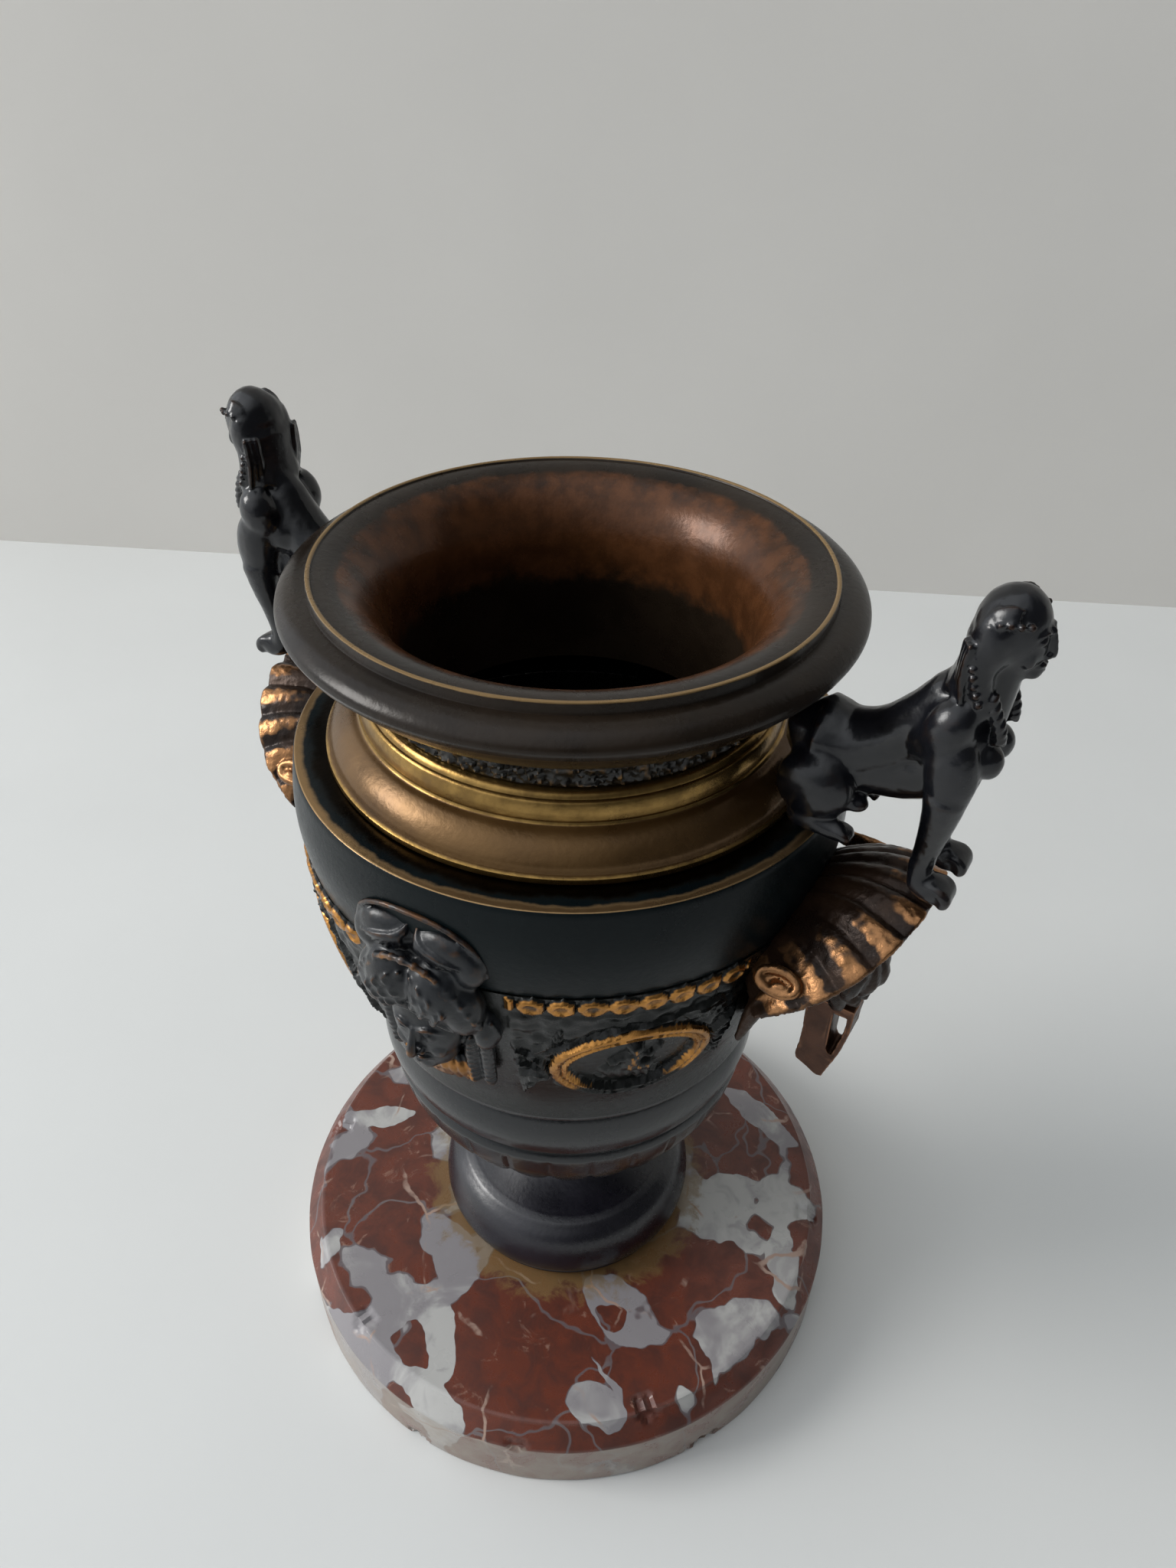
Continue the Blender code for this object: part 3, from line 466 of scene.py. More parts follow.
def marbleOutline():
    top, reach, edge = base["high"], base["reach"], marble["edge"]
    inner = reach - marble["bevelWidth"]
    shoulderLevel = top - marble["bevelDrop"]
    side = [(reach, edge + n * (shoulderLevel - edge) / 22) for n in range(23)]
    slope = [(reach - n * marble["bevelWidth"] / 12, shoulderLevel + n * marble["bevelDrop"] / 12)
             for n in range(1, 12)]
    edgeTop = [(inner + 0.25, top - 0.2), (inner - 0.2, top)]
    flat = [(inner - 0.7 * n, top) for n in range(1, 7)]
    flat += [(inner * 0.8, top), (inner * 0.5, top), (axisGap, top)]
    start = [(axisGap, 0.0), (reach * 0.6, 0.0), (reach - edge * 1.4, 0.0), (reach - edge * 0.3, edge * 0.3)]
    return start + side + slope + edgeTop + flat


# adds soft ellipses on the base's top to a factor
def addPatches(tree, coords, field, patches, reach):
    for x, y, length, width, turn, strength in patches:
        place = nodeFor(tree, "ShaderNodeMapping", Location=(x * mm, y * mm, 0.0),
                        Rotation=(0.0, 0.0, radians(turn)), Scale=(length * mm, width * mm, 100.0))
        place.vector_type = "TEXTURE"
        tree.links.new(coords, place.inputs["Vector"])
        far = tree.nodes.new("ShaderNodeVectorMath")
        far.operation = "LENGTH"
        tree.links.new(place.outputs["Vector"], far.inputs[0])
        field = maths(tree, "ADD", field, ramp(tree, far.outputs["Value"], 1.35, 0.75, 0.0, reach * strength))
    return field


# the coordinates shaken by noise, so that patches get natural outlines
def warp(tree, coords, scale, amount):
    flow = nodeFor(tree, "ShaderNodeTexNoise", Scale=scale, Detail=3.0)
    tree.links.new(coords, flow.inputs["Vector"])
    shift = tree.nodes.new("ShaderNodeVectorMath")
    shift.operation = "MULTIPLY_ADD"
    tree.links.new(flow.outputs["Color"], shift.inputs[0])
    shift.inputs[1].default_value = (amount, amount, amount)
    tree.links.new(coords, shift.inputs[2])
    back = tree.nodes.new("ShaderNodeVectorMath")
    back.operation = "SUBTRACT"
    tree.links.new(shift.outputs[0], back.inputs[0])
    back.inputs[1].default_value = (amount / 2, amount / 2, amount / 2)
    return back.outputs[0]


def marbleFinish():
    finish, tree, shader, coords = newFinish("redMarble")
    warped = warp(tree, coords, 75.0, 0.009)
    small = noiseNode(tree, coords, 150.0, 6.0, 0.65, 0.4)
    broad = noiseNode(tree, coords, 60.0, 4.0, 0.6, 0.8)
    field = maths(tree, "ADD", noiseNode(tree, warped, 38.0, 2.5, 0.42, 0.5), 0.035)
    field = addPatches(tree, warped, field, marble["patches"], 0.30)
    # red lumps in a pale net whose threads swell where the field is low
    net = nodeFor(tree, "ShaderNodeTexVoronoi", Scale=34.0)
    net.feature = "DISTANCE_TO_EDGE"
    tree.links.new(warp(tree, coords, 45.0, 0.030), net.inputs["Vector"])
    swell = ramp(tree, field, 0.58, 0.30, 0.004, 0.50)
    inLump = maths(tree, "SUBTRACT", net.outputs["Distance"], swell)
    isRed = ramp(tree, inLump, -0.012, 0.012)
    edgeLine = maths(tree, "MULTIPLY", ramp(tree, inLump, -0.035, -0.015), ramp(tree, inLump, 0.012, -0.004))
    reds = mixColour(tree, ramp(tree, small, 0.35, 0.68), marble["red"], marble["darkRed"])
    flecks = ramp(tree, noiseNode(tree, warped, 120.0, 5.0, 0.7, 1.2), 0.60, 0.70)
    reds = mixColour(tree, maths(tree, "MULTIPLY", flecks, 0.6), reds, (0.33, 0.20, 0.15))
    tone = addPatches(tree, warped, broad, marble["greys"], 0.25)
    pales = mixColour(tree, ramp(tree, tone, 0.66, 0.44), marble["white"], marble["lilac"])
    streaks = ramp(tree, noiseNode(tree, warped, 85.0, 4.0, 0.5, 1.0), 0.54, 0.66)
    pales = mixColour(tree, maths(tree, "MULTIPLY", streaks, 0.55), pales, marble["lilac"])
    colour = mixColour(tree, isRed, pales, reds)
    colour = mixColour(tree, maths(tree, "MULTIPLY", edgeLine, 0.85), colour, marble["line"])
    veins = nodeFor(tree, "ShaderNodeTexVoronoi", Scale=42.0)
    veins.feature = "DISTANCE_TO_EDGE"
    tree.links.new(warped, veins.inputs["Vector"])
    thin = maths(tree, "MULTIPLY", ramp(tree, veins.outputs["Distance"], 0.018, 0.006),
                 ramp(tree, broad, 0.48, 0.62))
    colour = mixColour(tree, thin, colour, (0.36, 0.25, 0.20))
    parts = tree.nodes.new("ShaderNodeSeparateXYZ")
    tree.links.new(coords, parts.inputs[0])
    flat = maths(tree, "ADD", maths(tree, "MULTIPLY", parts.outputs["X"], parts.outputs["X"]),
                 maths(tree, "MULTIPLY", parts.outputs["Y"], parts.outputs["Y"]))
    distance = maths(tree, "POWER", flat, 0.5)
    stainEdge = maths(tree, "ADD", distance, swing(tree, small, 0.022))
    colour = mixColour(tree, ramp(tree, stainEdge, 0.0350, 0.0312, 0.0, 0.65), colour, marble["stain"])
    side = ramp(tree, parts.outputs["Z"], (base["high"] - marble["bevelDrop"]) * mm,
                (base["high"] - marble["bevelDrop"] - 0.8) * mm)
    colour = mixColour(tree, maths(tree, "MULTIPLY", side, ramp(tree, small, 0.35, 0.65, 0.35, 0.75)),
                       colour, marble["side"])
    tree.links.new(colour, shader.inputs["Base Color"])
    tree.links.new(ramp(tree, small, 0.3, 0.7, 0.24, 0.42), shader.inputs["Roughness"])
    bump(tree, shader, small, 0.08, 0.0006)
    return finish


marbleBase = turned("marbleBase", marbleOutline(), 480, marbleLift)
finishPiece(marbleBase, marbleFinish(), "marble_base")
print("marble base done")


# turned bronze
darkSets = {
    "foot": {"deep": (0.005, 0.0045, 0.008), "body": (0.010, 0.009, 0.015), "worn": (0.05, 0.022, 0.015),
             "gilt": (0.3, 0.17, 0.06)},
    "bowl": {"deep": (0.003, 0.004, 0.005), "body": (0.006, 0.007, 0.009), "worn": (0.05, 0.028, 0.014),
             "gilt": (0.10, 0.06, 0.025)},
    "frieze": {"deep": (0.003, 0.0035, 0.0035), "body": (0.006, 0.007, 0.006), "worn": (0.04, 0.032, 0.02),
               "gilt": (0.55, 0.26, 0.07)},
    "drum": {"deep": (0.0028, 0.0052, 0.0062), "body": (0.004, 0.0072, 0.0082), "worn": (0.30, 0.19, 0.09),
             "gilt": (0.012, 0.008, 0.004)},
    "shoulder": {"deep": (0.085, 0.043, 0.014), "body": (0.14, 0.075, 0.025), "worn": (0.30, 0.18, 0.055),
                 "gilt": (0.36, 0.22, 0.07)},
    "neck": {"deep": (0.004, 0.003, 0.002), "body": (0.010, 0.008, 0.005), "worn": (0.16, 0.09, 0.035),
             "gilt": (0.34, 0.19, 0.06)},
    "rim": {"deep": (0.010, 0.0065, 0.004), "body": (0.020, 0.013, 0.008), "worn": (0.22, 0.14, 0.06),
            "gilt": (0.10, 0.038, 0.014)},
}


def footOutline():
    low, high, reach = foot["low"], foot["high"], foot["reach"]
    plate = fromCorner(reach, low, [(-2.0, 0), (-1.75, 0.2), (-1.7, 0.75), (-1.95, 0.95)])
    roll = smoothRun(fromCorner(reach, low, [(-1.75, 1.1), (-0.9, 2.4), (-0.15, 4.3), (-0.1, 7.0),
                                             (-0.85, 10.2), (-2.3, 13.1), (-4.5, 15.4)]), 7)
    ring = fromCorner(reach, low, [(-5.0, 15.75), (-5.5, 15.9), (-6.1, 16.3)])
    cove = smoothRun(fromCorner(reach, low, [(-6.6, 16.4), (-10.3, 17.6), (-13.8, 19.2)])
                     + [(13.5, high - 0.7), (13.1, high)])
    return [(axisGap, low)] + plate + roll + ring + cove + [(axisGap, high)]


# the bowl's smooth outside, from its seat up to the groove under the frieze
def bowlSkin():
    runs = [
        ([(13.7, 0.1), (15.2, 2.5), (19.3, 7.8), (24.1, 13.8), (28.9, 19.7), (32.4, 24.0)], 8),
        ([(33.4, 25.3), (35.0, 28.4), (36.6, 32.4), (37.5, 36.2), (37.8, 38.7)], 9),
        ([(37.9, 39.8), (38.9, 41.5), (39.65, 44.6), (39.65, 47.6), (39.1, 50.4), (38.4, 51.9)], 7),
    ]
    under, leafBand, band = [smoothRun(fromCorner(0, bowl["low"], keys), steps) for keys, steps in runs]
    return under + leafBand + [(37.7, bowl["low"] + 39.3)] + band


def bowlOutline():
    low, high = bowl["low"], bowl["high"]
    top = fromCorner(0, low, [(38.7, 52.3), (39.6, 52.8), (39.9, 53.3)]) + [(39.9, high)]
    inner = smoothRun([(38.0, high)] + fromCorner(0, low, [
        (36.6, 43.0), (35.5, 37.0), (30.3, 25.6), (22.5, 15.2), (15.0, 6.2), (8.0, 5.2), (axisGap, 5.0)]), 4)
    return [(axisGap, low), (13.6, low)] + bowlSkin() + top + inner


leafCup = {"count": 28, "top": 38.6, "tips": 25.2, "lift": 0.75, "tipBend": 4.6, "groove": 0.35}


def bowlLift(a, r, z):
    up = z - bowl["low"]
    skin = np.array(bowlSkin())
    outside = r > np.interp(z, skin[:, 1], skin[:, 0]) - 1.0
    across = np.abs((a * leafCup["count"] / (2 * pi)) % 1.0 - 0.5) * 2
    top, tip = leafCup["top"], leafCup["tips"] + leafCup["tipBend"] * across ** 1.7
    leaf = leafCup["lift"] * step(tip - 0.5, tip + 0.5, up) * step(top + 1.2, top - 1.0, up)
    groove = -leafCup["groove"] * step(0.14, 0.02, 1 - across) * step(tip, tip + 2, up)
    groove = groove * step(top, top - 3, up)
    lower = 0.3 * (1 - across) * step(4, 8, up) * step(tip, tip - 2, up)
    return (leaf + groove + lower) * outside


def bowlPaint(a, r, z):
    up = z - bowl["low"]
    edge = step(38.9, 39.5, up) * step(41.0, 40.0, up) + step(52.6, 52.9, up) * step(54.2, 53.6, up) * 0.8
    leafBand = step(26, 29, up) * step(39, 37, up) * 0.42
    return {"proud": np.clip(edge * 0.62 + 0.1, 0, 1), "gilt": leafBand}


def friezeWall(z):
    up = (z - frieze["low"]) / (frieze["high"] - frieze["low"])
    slope = friezeFoot + (drumWall - friezeFoot) * up
    slope = slope + 0.9 * np.sin(pi * np.clip((up - 0.25) / 0.75, 0, 1))
    return slope - 0.5 * np.sin(pi * np.minimum(up / 0.3, 1.0))


def friezeOutline():
    levelsUp = np.linspace(frieze["low"], frieze["high"], 116)
    outer = [(float(friezeWall(z)), float(z)) for z in levelsUp]
    return outer + [(outer[-1][0] - 2.2, frieze["high"]), (outer[0][0] - 2.2, frieze["low"])]


friezeSet = {
    "beadPitch": 5.0, "beadLevel": 1.9, "beadHalf": 1.85, "beadLift": 1.15, "medalLevel": 19.9,
    "medalWide": 14.2, "medalHigh": 10.8, "frame": 0.235, "frameLift": 1.25, "maskTurn": 2.5,
}


# a rounded stroke between two points of a flat relief
def stroke(u, v, start, end, width, height):
    (x0, y0), (x1, y1) = start, end
    dx, dy = x1 - x0, y1 - y0
    t = np.clip(((u - x0) * dx + (v - y0) * dy) / (dx * dx + dy * dy), 0, 1)
    far = np.hypot(u - x0 - t * dx, v - y0 - t * dy) / width
    return height * np.sqrt(np.clip(1 - far * far, 0, 1))


# a curved stroke that gets thinner towards its tip
def frond(u, v, root, middle, tip, width, height):
    return np.maximum(stroke(u, v, root, middle, width, height),
                      stroke(u, v, middle, tip, width * 0.65, height * 0.8))


# a small draped figure seated on a rock, in flat relief
def medalFigure(u, v):
    rows = [
        ((0.2, 4.1), (0.25, 4.6), 1.35, 1.5), ((0.0, 2.2), (-0.5, -0.8), 1.7, 1.5),
        ((-0.4, -1.2), (2.6, -1.6), 1.5, 1.4), ((2.6, -1.6), (2.9, -5.0), 1.0, 1.1),
        ((1.4, -1.8), (1.2, -5.2), 1.0, 0.9), ((-1.2, 2.2), (-3.6, 0.4), 0.8, 1.0),
        ((1.2, 2.2), (3.4, 1.6), 0.75, 1.0), ((3.4, 1.6), (4.4, 3.6), 0.65, 0.9),
        ((-3.4, -2.6), (-1.0, -3.6), 2.2, 0.9), ((-5.4, -4.4), (4.6, -5.6), 0.8, 0.6),
    ]
    folds = 0.14 * np.sin(u * 4.2 + v * 2.0)
    body = np.max([stroke(u, v, *row) for row in rows], axis=0)
    return body + folds * (body > 0.5)


def friezeParts(a, r, z):
    part = {}
    top = frieze["high"]
    width = friezeWall(np.array(top - friezeSet["medalLevel"]))
    degrees = np.degrees(a)
    quarter = (a % (pi / 2)) - pi / 4
    nearHandle = np.abs((degrees + 90) % 180 - 90)
    nearMask = np.abs((degrees - friezeSet["maskTurn"]) % 180 - 90)
    part["open"] = step(21.0, 23.0, nearHandle) * step(16.5, 18.0, nearMask)
    count = round(2 * pi * 50 / friezeSet["beadPitch"])
    along = ((a * count / (2 * pi)) % 1.0 - 0.5) * friezeSet["beadPitch"]
    beadUp = z - top + friezeSet["beadLevel"]
    far = np.hypot(along / 2.4, beadUp / friezeSet["beadHalf"])
    scallop = far * (1 + 0.06 * np.cos(7 * np.arctan2(beadUp, along)))
    shape = friezeSet["beadLift"] * (1 - 0.45 * scallop ** 2) - 0.6 * step(0.62, 0.3, scallop)
    part["bead"] = np.where(scallop < 1, shape, 0.0) * part["open"]
    part["beadCore"] = step(0.62, 0.4, scallop) * part["open"]
    u = quarter * width
    v = z - (top - friezeSet["medalLevel"])
    part["oval"] = np.hypot(u / friezeSet["medalWide"], v / friezeSet["medalHigh"])
    inside = 1 - friezeSet["frame"]
    across = (part["oval"] - inside) / friezeSet["frame"]
    part["onFrame"] = step(0.0, 0.08, across) * step(1.0, 0.92, across)
    part["groove"] = 0.55 * np.exp(-((across - 0.42) / 0.09) ** 2)
    swell = 0.82 + 0.3 * np.sin(pi * np.clip(across, 0, 1)) - part["groove"]
    part["frame"] = part["onFrame"] * friezeSet["frameLift"] * swell
    part["field"] = step(inside + 0.02, inside - 0.03, part["oval"])
    part["figure"] = medalFigure(u, v) * part["field"]
    # each quarter is mirrored, so that w runs from the mask towards the handle
    part["v"], part["w"] = v, np.where((degrees % 180) > 90, -u, u) * -1
    return part


# leaves beside the mask, then strands beside the handle, as root, middle, tip, width and height
def friezeFronds():
    rows = [((-13.8, -2.0), (-15.8 - 0.5 * k, 2.4 - 2.4 * k), (-19.2, 5.2 - 4.2 * k), 0.62, 0.95)
            for k in range(5)]
    rows += [((-16.5 + 0.6 * k, 5.4), (-14.6 + 0.5 * k, 7.2 + 0.8 * k), (-12.0, 8.2 + 1.6 * k), 0.45, 0.7)
             for k in range(3)]
    rows += [((13.4, 1.0 - 0.6 * k), (16.6, 5.4 - 2.1 * k), (20.8, 10.4 - 3.5 * k), 0.62, 1.0)
             for k in range(6)]
    rows += [((8.0, 12.4 - 0.5 * k), (14.6, 11.6 - 1.0 * k), (20.6, 13.6 - 1.5 * k), 0.5, 0.8)
             for k in range(3)]
    return rows


def friezeLift(a, r, z):
    outside = r > friezeWall(z) - 1.0
    part = friezeParts(a, r, z)
    v, w = part["v"], part["w"]
    points = np.stack([a.ravel() * 45, z.ravel() * 0, z.ravel()], -1)
    clouds = noiseAt(points, 2.2).reshape(a.shape)
    below = frieze["high"] - z
    around = step(1.0, 1.05, part["oval"])
    garden = part["open"] * step(4.2, 5.0, below) * step(29.0, 27.0, below) * around
    swag = stroke(w, v, (-17.5, 3.6), (-4.0, 11.6), 0.45, 0.75)
    swag = swag + stroke(w, v, (-4.0, 11.6), (14.0, 13.2), 0.45, 0.75)
    fronds = [frond(w, v, *row) for row in friezeFronds()]
    relief = 1.25 * np.max(fronds + [swag], axis=0) + garden * (0.3 + 0.6 * clouds)
    relief = relief * part["open"] * around
    ground = 0.2 * (1 - part["field"]) * step(1.05, 1.0, part["oval"])
    return outside * np.clip(relief + part["frame"] + part["figure"] + ground - 0.15 * part["field"]
                             + part["bead"], -0.4, 1.6)


def friezePaint(a, r, z):
    outside = r > friezeWall(z) - 1.0
    part = friezeParts(a, r, z)
    # painted light: the frames' gilding is coloured only on their upper part, where light falls, and the
    # lower part is left dark as painted shade
    frameGiltLitTop = part["onFrame"] * step(-9.5, -4.5, part["v"]) * (1 - 1.2 * part["groove"])
    beads = np.where(part["bead"] > 0.15, 1 - 0.48 * part["beadCore"], 0)
    touched = 0.75 * step(1.25, 1.5, part["figure"])
    below = frieze["high"] - z
    proud = 0.15 + 0.40 * part["open"] * step(1.02, 1.1, part["oval"]) * step(29.0, 26.0, below)
    return {"gilt": np.clip(frameGiltLitTop + beads + touched, 0, 1) * outside, "proud": proud * outside}


def drumOutline():
    low, high = drum["low"], drum["high"]
    bulge = 1.05
    side = [(drumWall + bulge * sin(pi * n / 16), low + 0.25 + (high - low - 0.5) * n / 16)
            for n in range(17)]
    top = [(drumWall - 0.15, high - 0.08), (drumWall - 0.4, high), (44.0, high - 0.05)]
    inner = [(32.6, high), (32.6, high - 2.4), (46.9, high - 2.4), (46.9, low)]
    return [(drumWall - 0.2, low)] + side + top + inner


def drumPaint(a, r, z):
    edge = step(48.4, 48.7, r) * step(drum["high"] - 0.3, drum["high"] - 0.05, z)
    flat = step(48.6, 48.2, r) * step(drum["high"] - 0.6, drum["high"] - 0.2, z)
    return {"proud": edge * 0.95, "gilt": flat * 0.9}


def shoulderOutline():
    low, high, reach = shoulder["low"], shoulder["high"], shoulder["reach"]
    fillet = fromCorner(reach, low, [(-0.1, 0), (0, 0.2), (-0.05, 1.0), (-0.4, 1.25)])
    dome = smoothRun(fromCorner(reach, low, [(-0.7, 1.35), (-1.2, 2.9), (-2.6, 4.7), (-4.4, 6.1),
                                             (-5.7, 6.6)]), 8)
    steps = fromCorner(0, low, [(37.5, 6.75), (37.35, 7.1), (37.1, 7.2)])
    ring = smoothRun(fromCorner(0, low, [(37.1, 7.4), (37.0, 8.6), (36.6, 9.9), (36.2, 10.3)]), 4)
    last = fromCorner(0, low, [(35.9, 10.35), (35.75, 10.8)]) + [(35.3, high - 0.15), (35.0, high)]
    return fillet + dome + steps + ring + last + [(32.5, high), (32.5, low)]


def shoulderPaint(a, r, z):
    up = z - shoulder["low"]
    lines = step(1.5, 1.1, up) + step(6.5, 6.75, up) * 0.85
    return {"gilt": lines * 0.8, "proud": 0.3 + lines * 0.5}


def neckOutline():
    low, high = neck["low"], neck["high"]
    side = [(34.45, low + (high - low) * n / 36) for n in range(37)]
    return side + [(32.5, high), (32.5, low)]


def neckLift(a, r, z):
    outside = r > 34
    slant = np.stack([(a.ravel() * 34 + (z.ravel() - neck["low"]) * 0.35) * 1.5, z.ravel() * 0.33,
                      r.ravel() * 0], -1)
    bark = noiseAt(slant, 1.5).reshape(a.shape)
    cross = noiseAt(slant * np.array([0.5, 2.6, 1]), 1.5, 4.0).reshape(a.shape)
    fade = step(0.0, 0.5, z - neck["low"])
    return outside * fade * (0.15 + 0.95 * (1 - np.abs(bark) * 3.2).clip(-0.4, 1) * 0.62 + 0.35 * cross)


def neckPaint(a, r, z):
    out = np.clip((r - 34.5) / 0.9, 0, 1)
    return {"proud": 0.25 + 0.65 * out, "gilt": 0.5 * step(0.75, 1.0, out)}


def rimOutline():
    low, high = neck["high"] + 0.3, rim["high"]
    mouth, throat, depth = 42.0, 30.3, 14.0
    cove = smoothRun(fromCorner(0, low, [(34.4, 0), (36.2, 0.1), (38.7, 0.5), (42.1, 2.3), (45.0, 4.9),
                                         (47.1, 7.4)]))
    roll = smoothRun(fromCorner(0, high, [(47.5, -6.3), (48.1, -5.2), (48.2, -4.6), (47.8, -3.7),
                                          (46.7, -2.75), (45.2, -2.15), (43.7, -1.95)]))
    band = fromCorner(0, high, [(43.1, -1.9), (42.95, -1.6), (42.95, -0.35), (42.8, -0.08), (42.5, 0),
                                (42.2, -0.1)])
    leans = [radians(90) * n / 26 for n in range(27)]
    funnel = [(mouth - 11.7 * sin(t), high - 0.45 - depth * (1 - cos(t))) for t in leans]
    funnel += [(throat, high - 15.0 - (high - 15.0 - rim["low"]) * n / 12) for n in range(13)]
    return cove + roll + band + funnel + [(32.1, rim["low"]), (32.1, low)]


def rimPaint(a, r, z):
    down = rim["high"] - z
    lip = step(42.0, 42.25, r) * step(0.45, 0.2, down) * step(43.4, 43.0, r)
    # reddish-brown inside of the funnel, made stronger a few mm down as painted light on the lit inner wall,
    # and fading out down the throat as painted shade
    inside = step(43.0, 40.0, r) * step(0.4, 1.6, down) * (r < 42.3)
    return {"proud": np.clip(lip * 0.75 + 0.25, 0, 1),
            "gilt": inside * (0.62 + 0.3 * step(1.5, 9.0, down)) * step(26, 12, down)}


def bronze(label, **changes):
    return bronzeFinish(label + "Bronze", **{**darkSets[label], **changes})


turnedPieces = [
    ("foot", footOutline(), 160, None, None, "dark_bronze", {"rough": 0.30, "metal": 0.0, "shine": 0.7}),
    ("bowl", bowlOutline(), 336, bowlLift, bowlPaint, "dark_bronze",
     {"rough": 0.24, "metal": 0.0, "shine": 0.6}),
    ("frieze", friezeOutline(), 640, friezeLift, friezePaint, "cast_bronze",
     {"rough": 0.27, "metal": 0.0, "grain": 0.2, "shine": 0.3}),
    ("drum", drumOutline(), 320, None, drumPaint, "green_black_bronze",
     {"rough": 0.30, "metal": 0.0, "shine": 0.14}),
    ("shoulder", shoulderOutline(), 256, None, shoulderPaint, "gold_bronze",
     {"rough": 0.27, "metal": 0.6, "shine": 0.5}),
    ("neck", neckOutline(), 480, neckLift, neckPaint, "cast_bronze",
     {"rough": 0.30, "metal": 0.0, "grain": 0.3, "shine": 0.5}),
    ("rim", rimOutline(), 256, None, rimPaint, "brown_bronze",
     {"rough": 0.26, "metal": 0.15, "shine": 0.28, "paintMetal": 0.25}),
]
for node, outline, columns, lift, paint, slotName, changes in turnedPieces:
    piece = turned(node + "Turned", outline, columns, lift, paint)
    finishPiece(piece, bronze(node, **changes), node)
print("turned bronze done")

# the outside of frieze, drum, shoulder, neck and rim, against which the castings sit
vaseOutline = [(friezeFoot, frieze["low"])]
vaseOutline += [(float(friezeWall(z)), float(z)) for z in np.linspace(frieze["low"], frieze["high"], 12)]
vaseOutline += fromCorner(0, drum["low"], [(49.6, 2), (50.1, 9)])
vaseOutline += fromCorner(0, ledge, [(49.2, -0.1), (43.4, 0.4), (43.2, 1.6), (40.9, 5), (37.6, 7), (35.6, 11),
                                     (34.6, 12)])
vaseOutline += fromCorner(0, neck["high"], [(34.4, 0), (38.7, 0.8), (42.1, 2.6), (47.1, 7.7)])
vaseOutline.append((48.2, rim["high"] - 4.6))


# sphinx handles
sphinx = {
    "black": (0.003, 0.003, 0.0035), "blue": (0.006, 0.0065, 0.009), "brown": (0.030, 0.015, 0.009),
    "gilt": (0.4, 0.2, 0.07),
    "headAt": (68.7, 0.0, 198.4), "headSize": (4.9, 4.9, 6.15), "legSpread": 4.5,
}


# a point of the sphinx on one side of its middle
def sphinxSide(side):
    return lambda x, y, z: (x, side * y, z)


# head, hair, neck, back, chest and belly, which lie across the middle
sphinxMiddle = [
    (sphinx["headAt"], sphinx["headSize"]), ((67.4, 0, 198.6), (3.9, 5.5, 5.3)),
    ((70.6, 0, 196.7), (3.3, 3.6, 5.0)), ((72.5, 0, 192.8), (1.5, 1.8, 1.3)),
    ([(66.3, 0, 197.0), (65.5, 0, 193.0), (64.7, 0, 188.0)], [3.2, 2.6, 2.8], 14, 6, 2.0),
    ([(68.6, 0, 194.0), (68.2, 0, 189.5), (67.0, 0, 185.0)], [3.3, 3.5, 4.6], 14),
    ([(65.3, 0, 189.6), (63.6, 0, 186.0), (60.9, 0, 180.8), (56.4, 0, 175.6), (51.0, 0, 172.7),
      (45.6, 0, 172.4)], [2.5, 3.8, 4.6, 5.1, 5.7, 6.8], 18),
    ((66.4, 0, 179.4), (4.9, 7.4, 7.2)), ((67.8, 0, 183.8), (3.0, 4.4, 3.6)),
    ((62.6, 0, 179.6), (4.6, 6.4, 5.4), 30),
    ([(66.0, 0, 174.6), (60.0, 0, 171.2), (53.0, 0, 169.8), (47.0, 0, 169.6)], [4.8, 4.9, 5.0, 5.4], 16, 6,
     0.95),
]


# side hair, shoulder, foreleg with its toes, haunch and hind foot of one side
def sphinxFlank():
    y = sphinx["legSpread"]
    rows = [
        ((67.2, 3.4, 197.2), (3.0, 3.0, 4.8)),
        ([(66.2, 4.2, 196.0), (66.8, 4.3, 191.0), (68.2, 4.2, 186.6)], [2.4, 2.1, 1.8]),
        ((64.9, 5.5, 183.6), (3.7, 3.6, 4.8), 20), ((66.7, 6.2, 177.0), (4.0, 3.0, 7.0), -6),
        ((70.5, 2.9, 178.6), (2.5, 2.5, 3.0), -10),
        ([(66.9, 6.1, 173.0), (66.7, 5.7, 168.0), (66.1, y + 0.4, 162.0), (65.7, y, 157.4), (66.3, y, 153.9)],
         [3.4, 2.75, 2.15, 1.95, 2.2], 14),
        ((68.0, y, 154.1), (3.0, 2.5, 2.6)),
    ]
    rows += [([(67.8, y + toe * 0.8, 155.5), (69.9, y + toe, 155.0), (70.9, y + toe, 153.5),
               (70.3, y + toe, 152.5)], [0.9, 1.0, 0.95, 0.8], 8) for toe in (-1.75, -0.6, 0.6, 1.75)]
    rows += [((47.4, 5.6, 166.6), (6.3, 3.8, 6.2)), ((53.9, 4.4, 164.9), (2.2, 1.8, 1.4)),
             ([(45.5, 6.6, 160.8), (50.0, 6.8, 160.5), (53.2, 6.6, 160.1)], [2.0, 1.8, 1.7])]
    rows += [([(52.4, 6.6 + toe, 160.8), (54.2, 6.6 + toe, 160.2), (54.4, 6.6 + toe, 158.9)],
              [0.8, 0.85, 0.6]) for toe in (-1.1, 0, 1.1)]
    return rows


def sphinxBody():
    shape = bmesh.new()
    addForms(shape, sphinxSide(1), sphinxMiddle)
    for side in (-1, 1):
        addForms(shape, sphinxSide(side), sphinxFlank())
    return melt(shape, 0.42, 10)


# a point on the cap of hair, from its place along and up the head and how far it stands out
def onHead(x, z, lift=0.0):
    cx, _, cz = sphinx["headAt"]
    sx, sy, sz = sphinx["headSize"]
    inside = 1 - ((x - cx) / sx) ** 2 - ((z - cz) / sz) ** 2
    return (sy + 0.9) * max(inside, 0.02) ** 0.5 + lift


